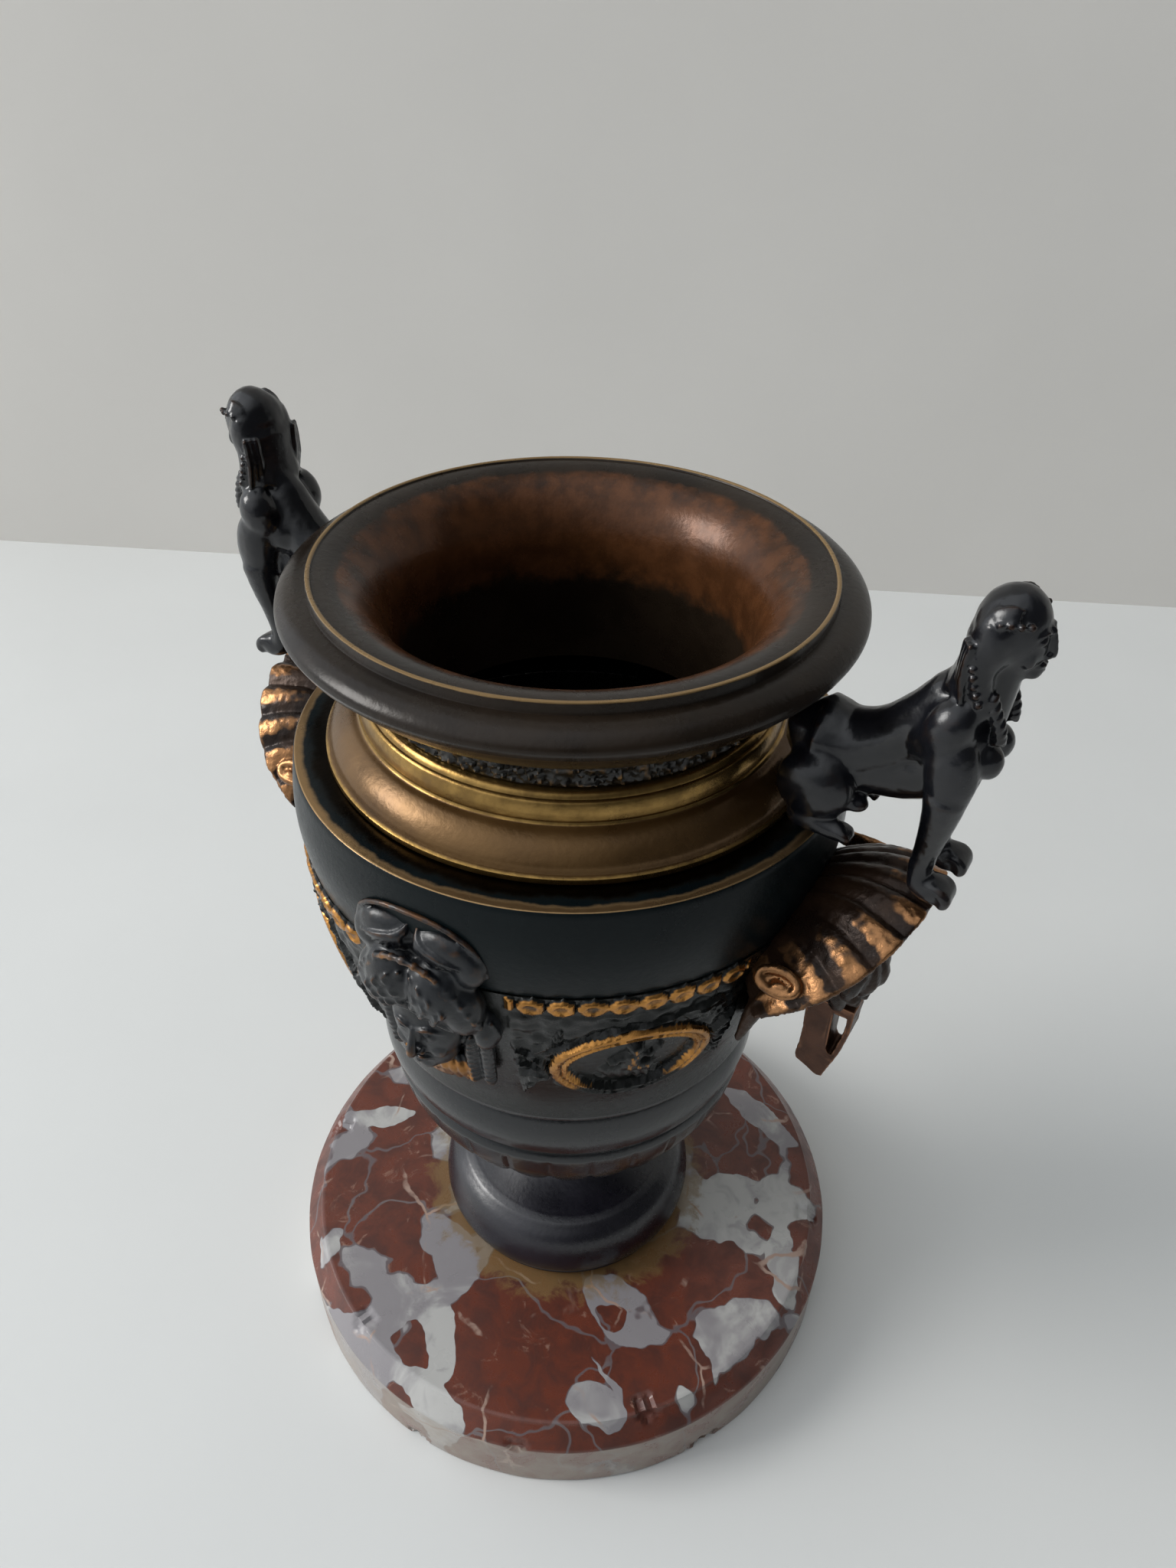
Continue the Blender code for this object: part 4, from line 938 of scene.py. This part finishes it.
# brow, eye, lids, nostril and cheek of one side, then nose and lips
sphinxEye = [
    ([(73.7, 0.8, 199.1), (73.3, 1.9, 199.5), (72.5, 3.0, 198.9)], [0.28, 0.34, 0.22], 6, 4),
    ((72.9, 1.75, 198.1), (0.75, 0.95, 0.55), 0, 2),
    ([(73.6, 1.0, 198.1), (73.45, 1.8, 198.55), (72.8, 2.6, 198.0)], [0.14, 0.18, 0.14], 5, 3),
    ([(73.55, 1.0, 197.9), (73.35, 1.8, 197.6), (72.8, 2.6, 197.9)], [0.12, 0.14, 0.12], 5, 3),
    ((74.0, 0.65, 195.6), (0.55, 0.42, 0.42), 0, 2), ((72.0, 2.1, 195.4), (1.1, 1.2, 1.7), 0, 2),
]
sphinxNose = [
    ([(73.6, 0, 199.4), (74.1, 0, 197.9), (74.5, 0, 196.0), (74.0, 0, 195.5)], [0.5, 0.5, 0.56, 0.4], 8, 4),
    ([(73.3, -1.3, 193.95), (73.9, -0.5, 194.25), (73.85, 0, 194.15), (73.9, 0.5, 194.25),
      (73.3, 1.3, 193.95)], [0.18, 0.36, 0.3, 0.36, 0.18], 6, 4),
    ([(73.3, -1.1, 193.6), (73.75, 0, 193.35), (73.3, 1.1, 193.6)], [0.16, 0.42, 0.16], 6, 4),
]


def sphinxDetail(body):
    shape = bmesh.new()
    shape.from_mesh(body)
    curls = [(71.6, 200.9), (70.2, 200.9), (68.8, 200.9), (67.4, 200.4), (66.4, 199.2), (65.8, 197.2)]
    for side in (-1, 1):
        place = sphinxSide(side)
        for k in range(4):
            path = []
            for x, z in ((65.2, 198.6), (66.4, 200.1), (68.2, 200.9), (69.6, 200.9)):
                px, pz = x + 0.15 * k, z + 0.6 * k
                path.append(place(px, onHead(px, pz, -0.1), pz))
            addBar(shape, path, [0.3, 0.45, 0.45, 0.25], 6)
        row = [place(x, onHead(x, z, 0.15), z) for x, z in curls]
        row += [place(65.9, 6.3, 194.6), place(66.6, 6.4, 191.6), place(68.0, 6.1, 188.4)]
        beads(shape, row, 0.65, 1.3)
        addForms(shape, place, [
            ([(65.0 - shift * 0.5, 6.3 - shift * 0.8, 197.0), (64.8 - shift * 0.4, 6.2 - shift * 0.9, 192.6),
              (65.6 - shift * 0.6, 6.2 - shift, 187.6)], [0.5, 0.6, 0.4], 6, 5) for shift in (0.0, 1.0, 2.0)])
        plait = ((69.0, 4.4, 189.6), (70.2, 4.3, 187.0), (71.2, 3.9, 184.4), (71.4, 3.6, 182.4))
        addTwist(shape, [place(*p) for p in plait], 1.05, 3)
        addForms(shape, place, sphinxEye)
    addForms(shape, sphinxSide(1), sphinxNose)
    return melt(shape, 0.26, 2, 0.46)


sphinxSkin = sphinxDetail(sphinxBody())
sphinxFinish = bronzeFinish("sphinxBronze", sphinx["black"], sphinx["blue"], sphinx["brown"], sphinx["gilt"],
                            (0.74, 1.08), rough=0.20, metal=0.0, cloud=60.0, grain=0.1, shine=0.5)
for name, node, turn in (("sphinxRight", "sphinx_right", 0.0), ("sphinxLeft", "sphinx_left", pi)):
    piece, _ = castPiece(name, sphinxSkin, turn)
    finishPiece(piece, sphinxFinish, node)
print("sphinxes done", len(sphinxSkin.polygons))


# shells with scrolls and leaf brackets
shell = {
    "length": 20.0, "halfWidth": 22.8, "peak": 62.0, "bulge": 0.030, "fall": 0.029,
    "ribs": 11, "ribDepth": 1.35, "thick": 2.0,
    "dark": (0.012, 0.007, 0.005), "body": (0.035, 0.018, 0.010), "worn": (0.12, 0.055, 0.025),
    "gilt": (0.36, 0.18, 0.080),
}


# height of the shell's ribs over a point: it rises from the wall, tops out and falls to the sides
def shellTop(x, y):
    arch = shell["bulge"] * (x - shell["peak"]) ** 2 * np.where(x < shell["peak"], 1.0, 0.35)
    return shellCrest + 0.4 - arch - shell["fall"] * y * y


def shellFan():
    shape = bmesh.new()
    rays, rings = 260, 60
    top, bottom = [], []
    for s in np.linspace(-1, 1, rays + 1):
        upper, under = [], []
        turnAngle = radians(90) * s
        outward = max(cos(turnAngle), 0.0) ** 0.85
        edgeX, edgeY = drumWall + shell["length"] * outward, shell["halfWidth"] * sin(turnAngle)
        nearX, nearY = 46.0 - abs(s) * 4.5, shell["halfWidth"] * 0.55 * s
        wave = abs(sin(pi * (s + 1) * shell["ribs"] / 2))
        for n in range(rings + 1):
            t = n / rings
            scallop = 0.5 * (1 - wave) * t ** 3 + 0.12 * noise.noise(Vector((s * 14, t * 3, 2.0))) * t ** 6
            x = nearX + (edgeX - nearX) * t - scallop * cos(turnAngle)
            y = nearY + (edgeY - nearY) * t - scallop * sin(turnAngle)
            z = float(shellTop(x, y))
            rib = shell["ribDepth"] * (1 - wave ** 0.7) * min(1.0, 0.25 + t)
            pits = 0.20 * noise.noise(Vector((x * 0.9, y * 0.9, 0.5)))
            pits += 0.13 * noise.noise(Vector((x * 2.1, y * 2.1, 3.5)))
            upper.append(shape.verts.new((x, y, z - rib + pits * t * wave - 0.12)))
            under.append(shape.verts.new((x, y, z - rib - shell["thick"] * (1 - 0.45 * t ** 6))))
        top.append(upper)
        bottom.append(under)
    for i in range(rays):
        for n in range(rings):
            shape.faces.new((top[i][n], top[i][n + 1], top[i + 1][n + 1], top[i + 1][n]))
            shape.faces.new((bottom[i][n], bottom[i + 1][n], bottom[i + 1][n + 1], bottom[i][n + 1]))
        shape.faces.new((top[i][rings], bottom[i][rings], bottom[i + 1][rings], top[i + 1][rings]))
        shape.faces.new((top[i][0], top[i + 1][0], bottom[i + 1][0], bottom[i][0]))
    for i, flip in ((0, False), (rays, True)):
        for n in range(rings):
            loop = (top[i][n], bottom[i][n], bottom[i][n + 1], top[i][n + 1])
            shape.faces.new(loop[::-1] if flip else loop)
    return shape


def shellBracket(shape):
    crest = shellCrest
    for side in (-1, 1):
        # oval scroll eye lying on the shell's corner
        ring = []
        for n in range(25):
            a = 2 * pi * n / 24
            ring.append((51.4 + 3.3 * cos(a), side * (20.4 - 1.25 * sin(a)), crest - 12.6 + 1.25 * sin(a)))
        addBar(shape, ring, [0.9] * 25, 8, 2)
        addBall(shape, (52.0, side * 20.9, crest - 12.9), (1.5, 0.9, 0.8), detail=2)
        addBall(shape, (51.2, side * 19.8, crest - 13.9), (3.8, 2.2, 1.5), detail=2)
        # leafy sweep from the scroll down on to the frieze
        for k in range(8):
            t = k / 7
            start = (51.6 - 4.5 * t, side * (19.0 - 13 * t), crest - 15.2 - 4 * t)
            middle = (48.4 - 2.0 * t, side * (19.8 - 13.6 * t), crest - 21.0 - 6 * t)
            end = (46.2 - 1.8 * t, side * (20.4 - 13.4 * t), crest - 29.5 - 7.5 * t)
            addBar(shape, [start, middle, end], [1.9, 1.7, 0.7], 8, 5)
    rows = [([(57.0, 0, 6.5), (55.0, 0, 14), (49.6, 0, 26), (45.0, 0, 36)], [5.0, 6.4, 5.4, 3.0], 10, 6, 1.5)]
    # lobes of the leaf that curls out over the loop
    for y in (-5.4, -2.8, 0.0, 2.8, 5.4):
        out = 64.6 - 0.10 * y * y
        rows.append(([(55.0, y * 0.4, 14.5), (60.0, y * 0.8, 17.5), (out - 2.2, y, 22.2),
                      (out - 2.6, y, 25.4)], [2.6, 2.5, 2.3, 1.3], 10, 5))
        rows.append(([(52.5, y * 0.5, 20.0), (57.0, y * 0.9, 24.6), (out - 3.6, y * 0.9, 28.6)],
                     [2.6, 2.4, 1.6], 10, 5))
    rows.append(([(48.0, 0, 26), (53.0, 0, 27.6), (58.0, 0, 28.8), (60.4, 0, 30.0)], [3.4, 3.0, 2.4, 1.4],
                 10, 6, 1.2))
    addForms(shape, lambda x, y, drop: (x, y, crest - drop), rows)


def shellSkin():
    shape = shellFan()
    shellBracket(shape)
    return melt(shape, 0.30, 1, 0.46)


shellMesh = shellSkin()
shellFinish = bronzeFinish("shellBronze", shell["dark"], shell["body"], shell["worn"], shell["gilt"],
                           (0.9, 1.2), rough=0.30, metal=0.45, cloud=80.0, grain=0.3)
for name, node, turn in (("shellRight", "shell_right", 0.0), ("shellLeft", "shell_left", pi)):
    piece, at = castPiece(name, shellMesh, turn, True, 0.1)
    x, y, z = at.T
    onScroll = np.exp(-(((x - 51.4) / 4.6) ** 2 + ((np.abs(y) - 20.4) / 3.0) ** 2
                        + ((z - shellCrest + 12.6) / 2.6) ** 2) ** 2)
    above = z - shellTop(x, y)
    lumps = noiseAt(np.stack([x, y, z * 0], -1), 1.1)
    alongShell, acrossShell = (x - drumWall) / shell["length"], y / shell["halfWidth"]
    reach = np.clip((np.hypot(alongShell, acrossShell) - 0.35) / 0.55, 0, 1)
    onRib = step(-0.75, -0.2, above) * reach * (0.78 + 0.4 * lumps)
    onEdge = 0.5 * step(0.96, 1.0, alongShell ** 2 + acrossShell ** 2) * step(-3.2, -1.6, above)
    addLayer(piece, "gilt", np.maximum(onScroll, np.maximum(onRib, onEdge)))
    finishPiece(piece, shellFinish, node)
print("shells done", len(shellMesh.polygons))


# loops under the brackets
loopSet = {"depth": 2.9, "deep": (0.05, 0.024, 0.015), "body": (0.10, 0.048, 0.030),
           "worn": (0.24, 0.12, 0.07), "gilt": (0.3, 0.15, 0.07)}


def loopPiece(name, turn):
    low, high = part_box("loop_right")
    left, right, bottom, top = low.x / mm + 0.05, high.x / mm - 0.05, low.z / mm + 0.05, high.z / mm
    outer = fromCorner(left, top, [(0.7, 0), (1.0, -9), (0.9, -13.5)])
    outer += fromCorner(left, bottom, [(0.5, 4.4), (0.9, 3.2), (5.4, 0.9), (6.3, 1.3)])
    outer += fromCorner(right, bottom, [(-1.2, 9.0), (-0.2, 14.5)]) + [(right, top)]
    inner = fromCorner(left, top, [(6.0, -2.2), (6.0, -6), (6.0, -9)])
    inner += fromCorner(left, bottom, [(6.0, 9.8), (6.1, 8.8), (6.6, 8.0), (7.2, 8.0)])
    inner += fromCorner(right, bottom, [(-1.9, 10.6), (-1.2, 15)]) + [(right - 1.1, top - 2.2)]
    shape = bmesh.new()
    rows = []
    for outline in (outer, inner):
        for y in (-loopSet["depth"], loopSet["depth"]):
            rows.append([shape.verts.new((x, y, z)) for x, z in outline])
    nearOut, farOut, nearIn, farIn = rows
    for i in range(len(outer)):
        j = (i + 1) % len(outer)
        shape.faces.new((nearOut[i], nearOut[j], nearIn[j], nearIn[i]))
        shape.faces.new((farOut[i], farIn[i], farIn[j], farOut[j]))
        shape.faces.new((nearOut[i], farOut[i], farOut[j], nearOut[j]))
        shape.faces.new((nearIn[i], nearIn[j], farIn[j], farIn[i]))
    bmesh.ops.recalc_face_normals(shape, faces=shape.faces)
    skin = melt(shape, 0.16, 3, 0.35)
    points = pointsOf(skin)
    far = np.hypot(points[:, 0] - left - 3.1, points[:, 2] - top + 2.6)
    for side in (-1, 1):
        face = (points[:, 1] * side > loopSet["depth"] - 0.4)
        points[:, 1] -= side * 1.3 * step(0.85, 0.55, far) * face
    skin.vertices.foreach_set("co", points.ravel())
    return castPiece(name, skin, turn, False, 0.12)[0]


loopFinish = bronzeFinish("loopBronze", loopSet["deep"], loopSet["body"], loopSet["worn"], loopSet["gilt"],
                          (0.55, 0.8), rough=0.36, metal=0.6, cloud=120.0, grain=0.3)
for name, node, turn in (("loopRight", "loop_right", 0.0), ("loopLeft", "loop_left", pi)):
    finishPiece(loopPiece(name, turn), loopFinish, node)
print("loops done")


# masks
mask = {"black": (0.003, 0.0035, 0.0045), "blue": (0.006, 0.0075, 0.010), "worn": (0.12, 0.055, 0.022),
        "gilt": (0.40, 0.19, 0.065)}


# a point of the mask: across, out from the drum's wall, down from just under the ledge, on the -Y side
def maskAt(x, out, down):
    return (x, -(drumWall + out), ledge - 2.4 - down)


def maskSide(side):
    return lambda x, out, down: maskAt(side * x, out, down)


# the lobes of hair as centre (across, out, down) and half sizes
hair = {"knot": ((5.2, 0.5, 8.4), (5.4, 2.3, 3.6)), "cap": ((3.9, 1.7, 17.2), (5.5, 3.9, 6.2))}


# how far a lobe of hair stands out at a place across and down
def onHair(lobe, x, down):
    (cx, out, cd), (rx, ro, rd) = hair[lobe]
    inside = 1 - ((x - cx) / rx) ** 2 - ((down - cd) / rd) ** 2
    return out + ro * max(inside, 0.0) ** 0.5


def maskBody():
    shape = bmesh.new()
    addForms(shape, maskAt, [((0, -1.8, 9.6), (12.4, 2.7, 6.8))])
    for side in (-1, 1):
        addForms(shape, maskSide(side), [hair["knot"], hair["cap"], ((9.2, -0.5, 11.0), (3.2, 2.7, 4.2)),
                                         ((8.0, 0.3, 20.0), (3.9, 3.4, 6.0)),
                                         ((10.9, -2.2, 26.0), (2.4, 3.0, 4.8))])
    addForms(shape, maskAt, [
        ((0, -0.9, 27.4), (6.8, 4.4, 9.4)), ((0, -1.7, 33.0), (5.4, 4.1, 6.6)),
        ((0, 0.4, 37.2), (2.3, 1.7, 1.9)),
        ([(0, -4.4, 38.5), (0, -5.4, 43.8)], [3.6, 3.4], 10, 6, 1.5, (1, 0, 0))])
    return melt(shape, 0.40, 9)


# crest over the knot, edge of the hair over the forehead, and the locks beside the face
maskLocks = [
    ([(0, 1.2, 2.8), (4.0, 1.1, 3.1), (7.4, 0.8, 4.1), (10.2, 0.3, 6.2), (11.8, -0.5, 9.4),
      (12.2, -1.0, 12.4)], [0.5, 0.5, 0.5, 0.5, 0.45, 0.4], 8),
    ([(0, 3.8, 21.2), (3.6, 3.4, 22.4), (7.2, 2.0, 24.4), (10.0, -0.2, 25.2)], [0.55, 0.6, 0.6, 0.4], 8),
    ([(11.2, 1.0, 21.4), (10.0, -0.4, 25.4), (9.0, -1.6, 29.6)], [0.6, 0.6, 0.5]),
]
maskLocks += [([(10.0 + 1.2 * k, 0.4 - 0.6 * k, 23.0), (10.8 + 1.1 * k, -0.4 - 0.8 * k, 26.6),
                (9.8 + 1.0 * k, -1.2 - 0.8 * k, 30.0)], [0.45, 0.6, 0.45], 6) for k in range(3)]

# brow, eye, lids, nostril and cheek of one side, then nose and lips
maskEye = [
    ([(0.9, 3.6, 26.6), (2.8, 3.4, 26.0), (4.9, 1.9, 27.0)], [0.45, 0.5, 0.3], 6, 4),
    ((2.7, 2.3, 28.2), (1.35, 1.05, 0.75), 0, 2),
    ([(1.4, 3.0, 28.2), (2.7, 3.3, 27.6), (4.0, 2.3, 28.2)], [0.18, 0.25, 0.18], 5, 3),
    ([(1.4, 2.9, 28.5), (2.7, 3.1, 28.9), (4.0, 2.2, 28.4)], [0.16, 0.18, 0.16], 5, 3),
    ((1.1, 3.2, 32.2), (0.75, 0.75, 0.6), 0, 2), ((3.0, 1.4, 31.8), (2.1, 1.3, 2.4), 0, 2),
]
maskNose = [
    ([(0, 3.4, 26.8), (0, 4.0, 29.0), (0, 4.7, 31.6), (0, 3.6, 32.4)], [0.7, 0.7, 0.9, 0.5], 8, 4),
    ([(-2.1, 2.0, 34.6), (-0.7, 3.0, 34.2), (0, 2.9, 34.3), (0.7, 3.0, 34.2), (2.1, 2.0, 34.6)],
     [0.22, 0.42, 0.35, 0.42, 0.22], 6, 4),
    ([(-1.7, 2.0, 35.0), (0, 2.8, 35.3), (1.7, 2.0, 35.0)], [0.2, 0.5, 0.2], 6, 4),
]
headband = ((0, 4.2, 10.2), (3.3, 4.0, 11.0), (6.5, 3.4, 13.4), (9.1, 2.8, 16.6), (10.7, 2.1, 19.8),
            (11.4, 0.9, 22.4))


# a plait with rungs beside the face
def plaitRows(x, top):
    lean = 0.14 * x
    rows = [([(x, -1.2 - lean, top), (x - 0.3, -1.9 - lean, 36.0), (x - 0.5, -2.9 - lean, 42.8)],
             [1.35, 1.35, 1.1], 8)]
    for n in range(9):
        t = n / 8
        out, down = -0.2 - lean - 1.6 * t, top + 0.6 + 11.4 * t
        rows.append(([(x - 1.5 - 0.4 * t, out - 0.7, down), (x - 0.4 * t, out + 0.15, down + 0.25),
                      (x + 1.1 - 0.4 * t, out - 0.7, down)], [0.3, 0.42, 0.3], 6, 3))
    return rows


def maskDetail(body):
    shape = bmesh.new()
    shape.from_mesh(body)
    for side in (-1, 1):
        place = maskSide(side)
        # strands drawn over the knot from the parting
        for k in range(7):
            path = []
            for t in (0.0, 0.3, 0.6, 1.0):
                x = 0.9 + (0.8 + 1.25 * k) * t + 0.3 * sin(pi * t)
                down = 5.6 + 0.25 * k + (6.0 - 0.6 * k) * t ** 1.4
                path.append(place(x, onHair("knot", x, down) + 0.3, down))
            addBar(shape, path, [0.3, 0.42, 0.46, 0.3], 6)
        # small comma curls on the cap of hair
        for row in range(3):
            for k in range(4):
                x = 1.0 + 1.9 * k + 0.8 * (row % 2)
                down = 13.4 + 0.09 * x * x + 2.5 * row
                out = onHair("cap", x, down + 0.9) - 0.12
                path = [place(x, out - 0.1, down), place(x + 0.6, out + 0.05, down + 0.9),
                        place(x + 0.1, out, down + 1.8), place(x - 0.6, out - 0.15, down + 1.7)]
                if x < 8.6:
                    addBar(shape, path, [0.34, 0.46, 0.40, 0.25], 6, 4)
        addForms(shape, place, maskLocks + plaitRows(7.3, 30.4) + plaitRows(10.1, 29.4) + maskEye)
        band = [place(*p) for p in headband]
        addBar(shape, band, [0.6] * 6, 6, 4)
        beads(shape, band, 0.85, 1.9)
    addForms(shape, maskAt, maskNose)
    # fluted collar under the chin
    for k in range(9):
        x = -6.4 + 1.6 * k
        fall = 0.03 * x * x
        addForms(shape, maskAt, [([(x * 0.75, -2.4 - fall, 38.0), (x, -1.9 - fall, 40.6),
                                   (x * 1.05, -3.6 - fall, 44.8 - 0.5 * fall)], [0.55, 0.95, 0.75], 8, 4)])
    return melt(shape, 0.26, 2, 0.5)


maskSkin = maskDetail(maskBody())
maskFinish = bronzeFinish("maskBronze", mask["black"], mask["blue"], mask["worn"], mask["gilt"],
                          (0.76, 1.15), rough=0.30, metal=0.0, cloud=90.0, grain=0.12, shine=0.45)
for name, node, turn in (("maskFront", "mask_front", 0.0), ("maskBack", "mask_back", pi)):
    piece, at = castPiece(name, maskSkin, turn + radians(friezeSet["maskTurn"]))
    x, y, z = at.T
    down, out = ledge - 2.4 - z, -drumWall - y
    arch = 10.2 + 0.084 * x * x
    onArch = np.exp(-((down - arch) / 1.1) ** 2) * (np.abs(x) < 12) * (out > 0.2)
    onArch = onArch * step(0.45, 0.75, proudOf(piece))
    onCollar = step(38.0, 39.4, down) * step(7.6, 6.4, np.abs(x)) * step(-4.6, -3.6, out)
    onFringe = 0.42 * np.exp(-((down - 21.0 - 0.035 * x * x) / 0.9) ** 2) * (np.abs(x) < 10) * (out > -0.5)
    onFace = 0.5 * np.exp(-((x / 1.2) ** 2 + ((down - 31.2) / 1.6) ** 2)) * step(3.4, 4.2, out)
    addLayer(piece, "gilt", np.clip(onArch * 0.5 + onCollar * 0.9 + onFringe + onFace, 0, 1))
    finishPiece(piece, maskFinish, node)
print("masks done", len(maskSkin.polygons))


# table, wall, light and camera
room = {
    "table": (0.69, 0.70, 0.69), "wall": (0.72, 0.70, 0.665),
    "wallPoint": (-0.184, 0.315), "wallAlong": (0.898, 0.440), "wallStart": -0.45,
    "windowFrom": (-0.72, -0.48, 0.50), "windowFar": 3.2, "windowSize": 1.3, "windowPower": 66.0,
    "skyColour": (0.92, 0.96, 1.0), "skyFrom": (-0.66, -0.28, 0.70), "skyDim": 0.08, "skyBright": 1.35,
}
camera = {"position": (0.0871, -0.1426, 0.2723), "forward": (-0.4003, 0.6829, -0.6111), "roll": 1.29,
          "lens": 25.86}


def plainFinish(name, colour, rough):
    finish, tree, shader, coords = newFinish(name)
    cloudy = noiseNode(tree, coords, 6.0, 3.0)
    tree.links.new(mixColour(tree, ramp(tree, cloudy, 0.3, 0.7), tuple(0.965 * c for c in colour), colour),
                   shader.inputs["Base Color"])
    shader.inputs["Roughness"].default_value = rough
    bump(tree, shader, noiseNode(tree, coords, 260.0, 3.0), 0.05, 0.0005)
    return finish


def slab(name, corners, finish):
    piece = meshPiece(name, corners, [[0, 1, 2, 3]])
    piece.data.materials.append(finish)


far = 3.0
alongX, alongY = room["wallAlong"]
wallX, wallY = room["wallPoint"]
slab("table", [(-far, -far, 0), (far, -far, 0), (far, far, 0), (-far, far, 0)],
     plainFinish("paleTable", room["table"], 0.5))
wallCorners = []
for along, height in ((room["wallStart"], 0), (far, 0), (far, 2.0), (room["wallStart"], 2.0)):
    wallCorners.append((wallX + alongX * along, wallY + alongY * along, height))
slab("wall", wallCorners, plainFinish("paleWall", room["wall"], 0.9))


def addWindow():
    lamp = bpy.data.lights.new("window", "AREA")
    lamp.shape = "SQUARE"
    lamp.size = room["windowSize"]
    lamp.energy = room["windowPower"]
    lamp.color = (1.0, 0.985, 0.96)
    item = bpy.data.objects.new("window", lamp)
    bpy.context.scene.collection.objects.link(item)
    spot = Vector(room["windowFrom"]).normalized() * room["windowFar"] + Vector((0, 0, 0.1))
    item.location = spot
    item.rotation_euler = (Vector((0, 0, 0.1)) - spot).to_track_quat("-Z", "Y").to_euler()


def addSky():
    world = bpy.data.worlds.new("room")
    world.use_nodes = True
    background = world.node_tree.nodes["Background"]
    background.inputs["Color"].default_value = (*room["skyColour"], 1.0)
    # brighter towards the window, dim on the camera's side
    tree = world.node_tree
    towards = tree.nodes.new("ShaderNodeVectorMath")
    towards.operation = "DOT_PRODUCT"
    tree.links.new(tree.nodes.new("ShaderNodeTexCoord").outputs["Generated"], towards.inputs[0])
    towards.inputs[1].default_value = room["skyFrom"]
    glow = ramp(tree, towards.outputs["Value"], 0.05, 0.98, room["skyDim"], room["skyBright"])
    tree.links.new(glow, background.inputs["Strength"])
    bpy.context.scene.world = world
    bpy.context.scene.view_settings.view_transform = "Standard"


def addCamera():
    data = bpy.data.cameras.new("camera")
    data.lens = camera["lens"]
    data.sensor_width = 36.0
    data.clip_start = 0.01
    item = bpy.data.objects.new("camera", data)
    bpy.context.scene.collection.objects.link(item)
    forward = Vector(camera["forward"]).normalized()
    right = forward.cross(Vector((0, 0, 1))).normalized()
    up = right.cross(forward)
    lean = radians(camera["roll"])
    right, up = right * cos(lean) + up * sin(lean), up * cos(lean) - right * sin(lean)
    turn = Matrix((right, up, -forward)).transposed().to_4x4()
    item.matrix_world = Matrix.Translation(camera["position"]) @ turn
    bpy.context.scene.camera = item


addWindow()
addSky()
addCamera()
print("room done")
